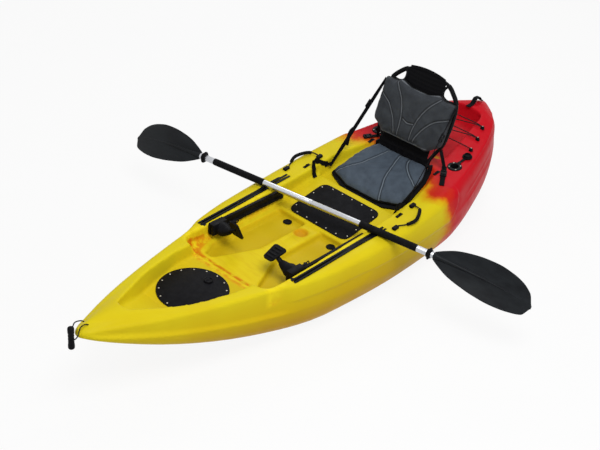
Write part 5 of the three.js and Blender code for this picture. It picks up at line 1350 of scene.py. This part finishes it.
def hinge_flap():
    """Coated black cloth that closes the slot between the seat's rear edge and the back, in front of the pin."""
    profile = curve_through([[-0.654, 0.386], [-0.658, 0.393], [-0.6605, 0.402], [-0.6615, 0.411], [-0.6625, 0.424],
                             [-0.6645, 0.444]], 40)
    x, z = profile.T[..., None]
    y = np.linspace(-0.158, 0.158, 64)
    sag = 0.0016 * np.sin(y * 118) * np.sin(np.linspace(0, np.pi, 40))[:, None]
    front = np.stack(np.broadcast_arrays(x + sag, y, z), -1)
    rear = front - [0.0012, 0, 0.0006]
    make("hinge_flap", [np.concatenate([front, rear[:, ::-1]], 1)], bend((-0.658, 0.0, 0.394), (-0.6625, 0.0, 0.426)),
         "black_webbing", sharp=50)


back_frame()
back_cloth()
hinge_flap()


# ---------------------------------------------------------------- paddle

PADDLE_AT = np.array([-0.026, -0.044, 0.355665])
PADDLE_TURN = 0.15
SHAFT_R, SHAFT_HALF, PADDLE_GRIP = 0.015, 0.658, (0.272, 0.573)
BLADE_ROOT, BLADE_TIP, BLADE_WIDTH, BLADE_THICK = SHAFT_HALF + 0.0003, 1.122, 0.181, 0.004
BLADE_CRANK, BLADE_SPOON, BLADE_DISH, BLADE_TURN = 0.042, 0.066, 0.009, 0.94
# Width and middle line along the blade, as shares of its greatest width and of its half
BLADE_WIDTHS = [[0, 0.2], [0.07, 0.4], [0.2, 0.69], [0.34, 0.86], [0.47, 0.96], [0.61, 1], [0.74, 0.94], [0.855, 0.8],
                [0.944, 0.57], [1, 0.24]]
BLADE_MIDDLES = [[0, 0], [0.34, 0.06], [0.61, 0.15], [0.74, 0.22], [0.855, 0.3], [0.944, 0.41], [1, 0.48]]
# Profiles of (radius, place along the shaft)
TUBE_PROFILE = [[0.0134, 0.0073], [0.0148, 0.0073], [0.015, 0.0077], [0.015, 0.6575], [0.0148, 0.658],
                [0.0134, 0.658], [0.0134, 0.0073]]
NECK_PROFILE = [[0, -0.040], [0.0128, -0.040], [0.0131, -0.0396], [0.0131, 0.001], [0.0148, 0.0012],
                [0.0142, 0.012], [0, 0.014]]
HALF_RING_PROFILE = [[0.0153, 0.011], [0.0188, 0.011], [0.0196, 0.0104], [0.0205, 0.006], [0.0240, 0.0030],
                     [0.0284, 0.0012]]
RING_RIM_R, RING_AT = 0.029, 0.635
FERRULE_PROFILE = [[0, -0.062], [0.0124, -0.062], [0.0131, -0.0613], [0.0131, -0.007], [0.0158, -0.007],
                   [0.0162, -0.0066], [0.0162, 0.0066], [0.0158, 0.007], [0.0131, 0.007], [0.0131, 0.0613],
                   [0.0124, 0.062], [0, 0.062]]


def on_paddle(p, side):
    """Points of the paddle's own frame, y out along the shaft and z up, in the row frame; side -1 mirrors them."""
    c, s = math.cos(PADDLE_TURN), math.sin(PADDLE_TURN)
    x, y, z = p[..., 0], p[..., 1] * side, p[..., 2]
    return np.stack([x * c - y * s, x * s + y * c, z], -1) + PADDLE_AT


def turned(profile):
    return lathe(profile, 56, (0, 0, 0), PORT, Z_UP)


def blade_line(t):
    """The blade's middle line: it moves aside by a table and falls by crank t + spoon t^2."""
    return np.stack([BLADE_WIDTH / 2 * table_at(BLADE_MIDDLES, t), BLADE_ROOT + (BLADE_TIP - SHAFT_HALF) * t,
                     -BLADE_CRANK * t - BLADE_SPOON * t ** 2], -1)


def blade_parts():
    """A spooned, unsymmetrical blade with a rib that fades along it and a neck in the shaft. Across the blade, the
    face dishes by 4 dish k^2 t (1 - t) and thins towards the edge by k^4."""
    t = 1 - (1 - np.linspace(0, 1, 96)) ** 1.6
    tip = np.sqrt(np.clip(1 - smooth_step(t, 0.93, 1.0) ** 2 * 0.9, 0, 1))
    half = BLADE_WIDTH / 2 * table_at(BLADE_WIDTHS, t) * tip
    k = np.linspace(-1, 1, 49)
    dish = 4 * BLADE_DISH * k ** 2 * (t * (1 - t))[:, None]
    middle = blade_line(t)[:, None] + np.stack([half[:, None] * k, 0 * dish, dish], -1)
    thin = (BLADE_THICK / 2 * (1 - 0.72 * k ** 4))[:, None] * Z_UP
    sheet = np.concatenate([middle + thin, (middle - thin)[:, ::-1]], 1)
    s = np.linspace(0, 1, 70)
    rib = sweep(blade_line(s * 0.9), circle(SHAFT_R * (1 - 0.84 * s ** 0.6), 28), FORWARD)
    neck = turned(np.array(NECK_PROFILE) + [0, SHAFT_HALF])
    c, s = math.cos(BLADE_TURN), math.sin(BLADE_TURN)
    spin = np.array([[c, 0, s], [0, 1, 0], [-s, 0, c]])
    return [part @ spin.T for part in (sheet, rib, neck)]


def paddle_half(side_name, side):
    """Shaft tube, grip, drip ring and blade, out from the ferrule."""
    inner, outer = PADDLE_GRIP
    along = np.linspace(inner, outer, 90)
    radius = 0.0158 + 0.0013 * smooth_step(np.minimum(along - inner, outer - along), -0.002, 0.010)
    grip = np.concatenate([np.stack([radius, along], -1), [[0.01525, outer], [0.01525, inner], [radius[0], inner]]])
    half = np.array(HALF_RING_PROFILE)
    ring = np.concatenate([half * [1, -1], [[RING_RIM_R, 0]], half[::-1], half[:1] * [1, -1]]) + [0, RING_AT]
    for name, parts, finish, node, sharp in (
            ("shaft_tube_", [turned(TUBE_PROFILE)], "bright_alloy", "paddle_shaft_", 40),
            ("shaft_grip_", [turned(grip)], "black_rubber", "paddle_grip_", 45),
            ("drip_ring_turned_", [turned(rounded(ring, 0.001, 2))], "black_rubber", "paddle_drip_ring_", 40),
            ("blade_moulded_", blade_parts(), "blade_nylon", "paddle_blade_", 50)):
        make(name + side_name, [on_paddle(part, side) for part in parts], "paddle" if side > 0 else "paddle_half",
             finish, [node + side_name], sharp=sharp)


for side_name, side in SIDES.items():
    paddle_half(side_name, side)
make("ferrule_turned", [on_paddle(turned(FERRULE_PROFILE), 1)], "paddle_joint", "bright_alloy", ["paddle_ferrule"],
     sharp=40)


# ---------------------------------------------------------------- floor and world

FLOOR_HALF = 14
ROOM_LIGHT = 0.36


def ground():
    mesh = bpy.data.meshes.new("floor")
    corners = [(x * FLOOR_HALF, y * FLOOR_HALF, 0) for x, y in ((-1, -1), (1, -1), (1, 1), (-1, 1))]
    mesh.from_pydata(corners, [], [(0, 1, 2, 3)])
    mesh.materials.append(studio_floor())
    show(bpy.data.objects.new("floor", mesh))


def sky():
    """A white room: plain light on the boat, and white where the camera or a shiny surface sees past it."""
    world = bpy.data.worlds.new("white_room")
    world.use_nodes = True
    tree = world.node_tree
    tree.nodes.clear()
    light, white = (put(tree, "ShaderNodeBackground", {"Color": "FFFFFF", "Strength": strength}).outputs[0]
                    for strength in (ROOM_LIGHT, 1.0))
    mix = put(tree, "ShaderNodeMixShader", {0: looked_at(tree), 1: light, 2: white})
    put(tree, "ShaderNodeOutputWorld", {0: mix.outputs[0]})
    bpy.context.scene.world = world


ground()
sky()
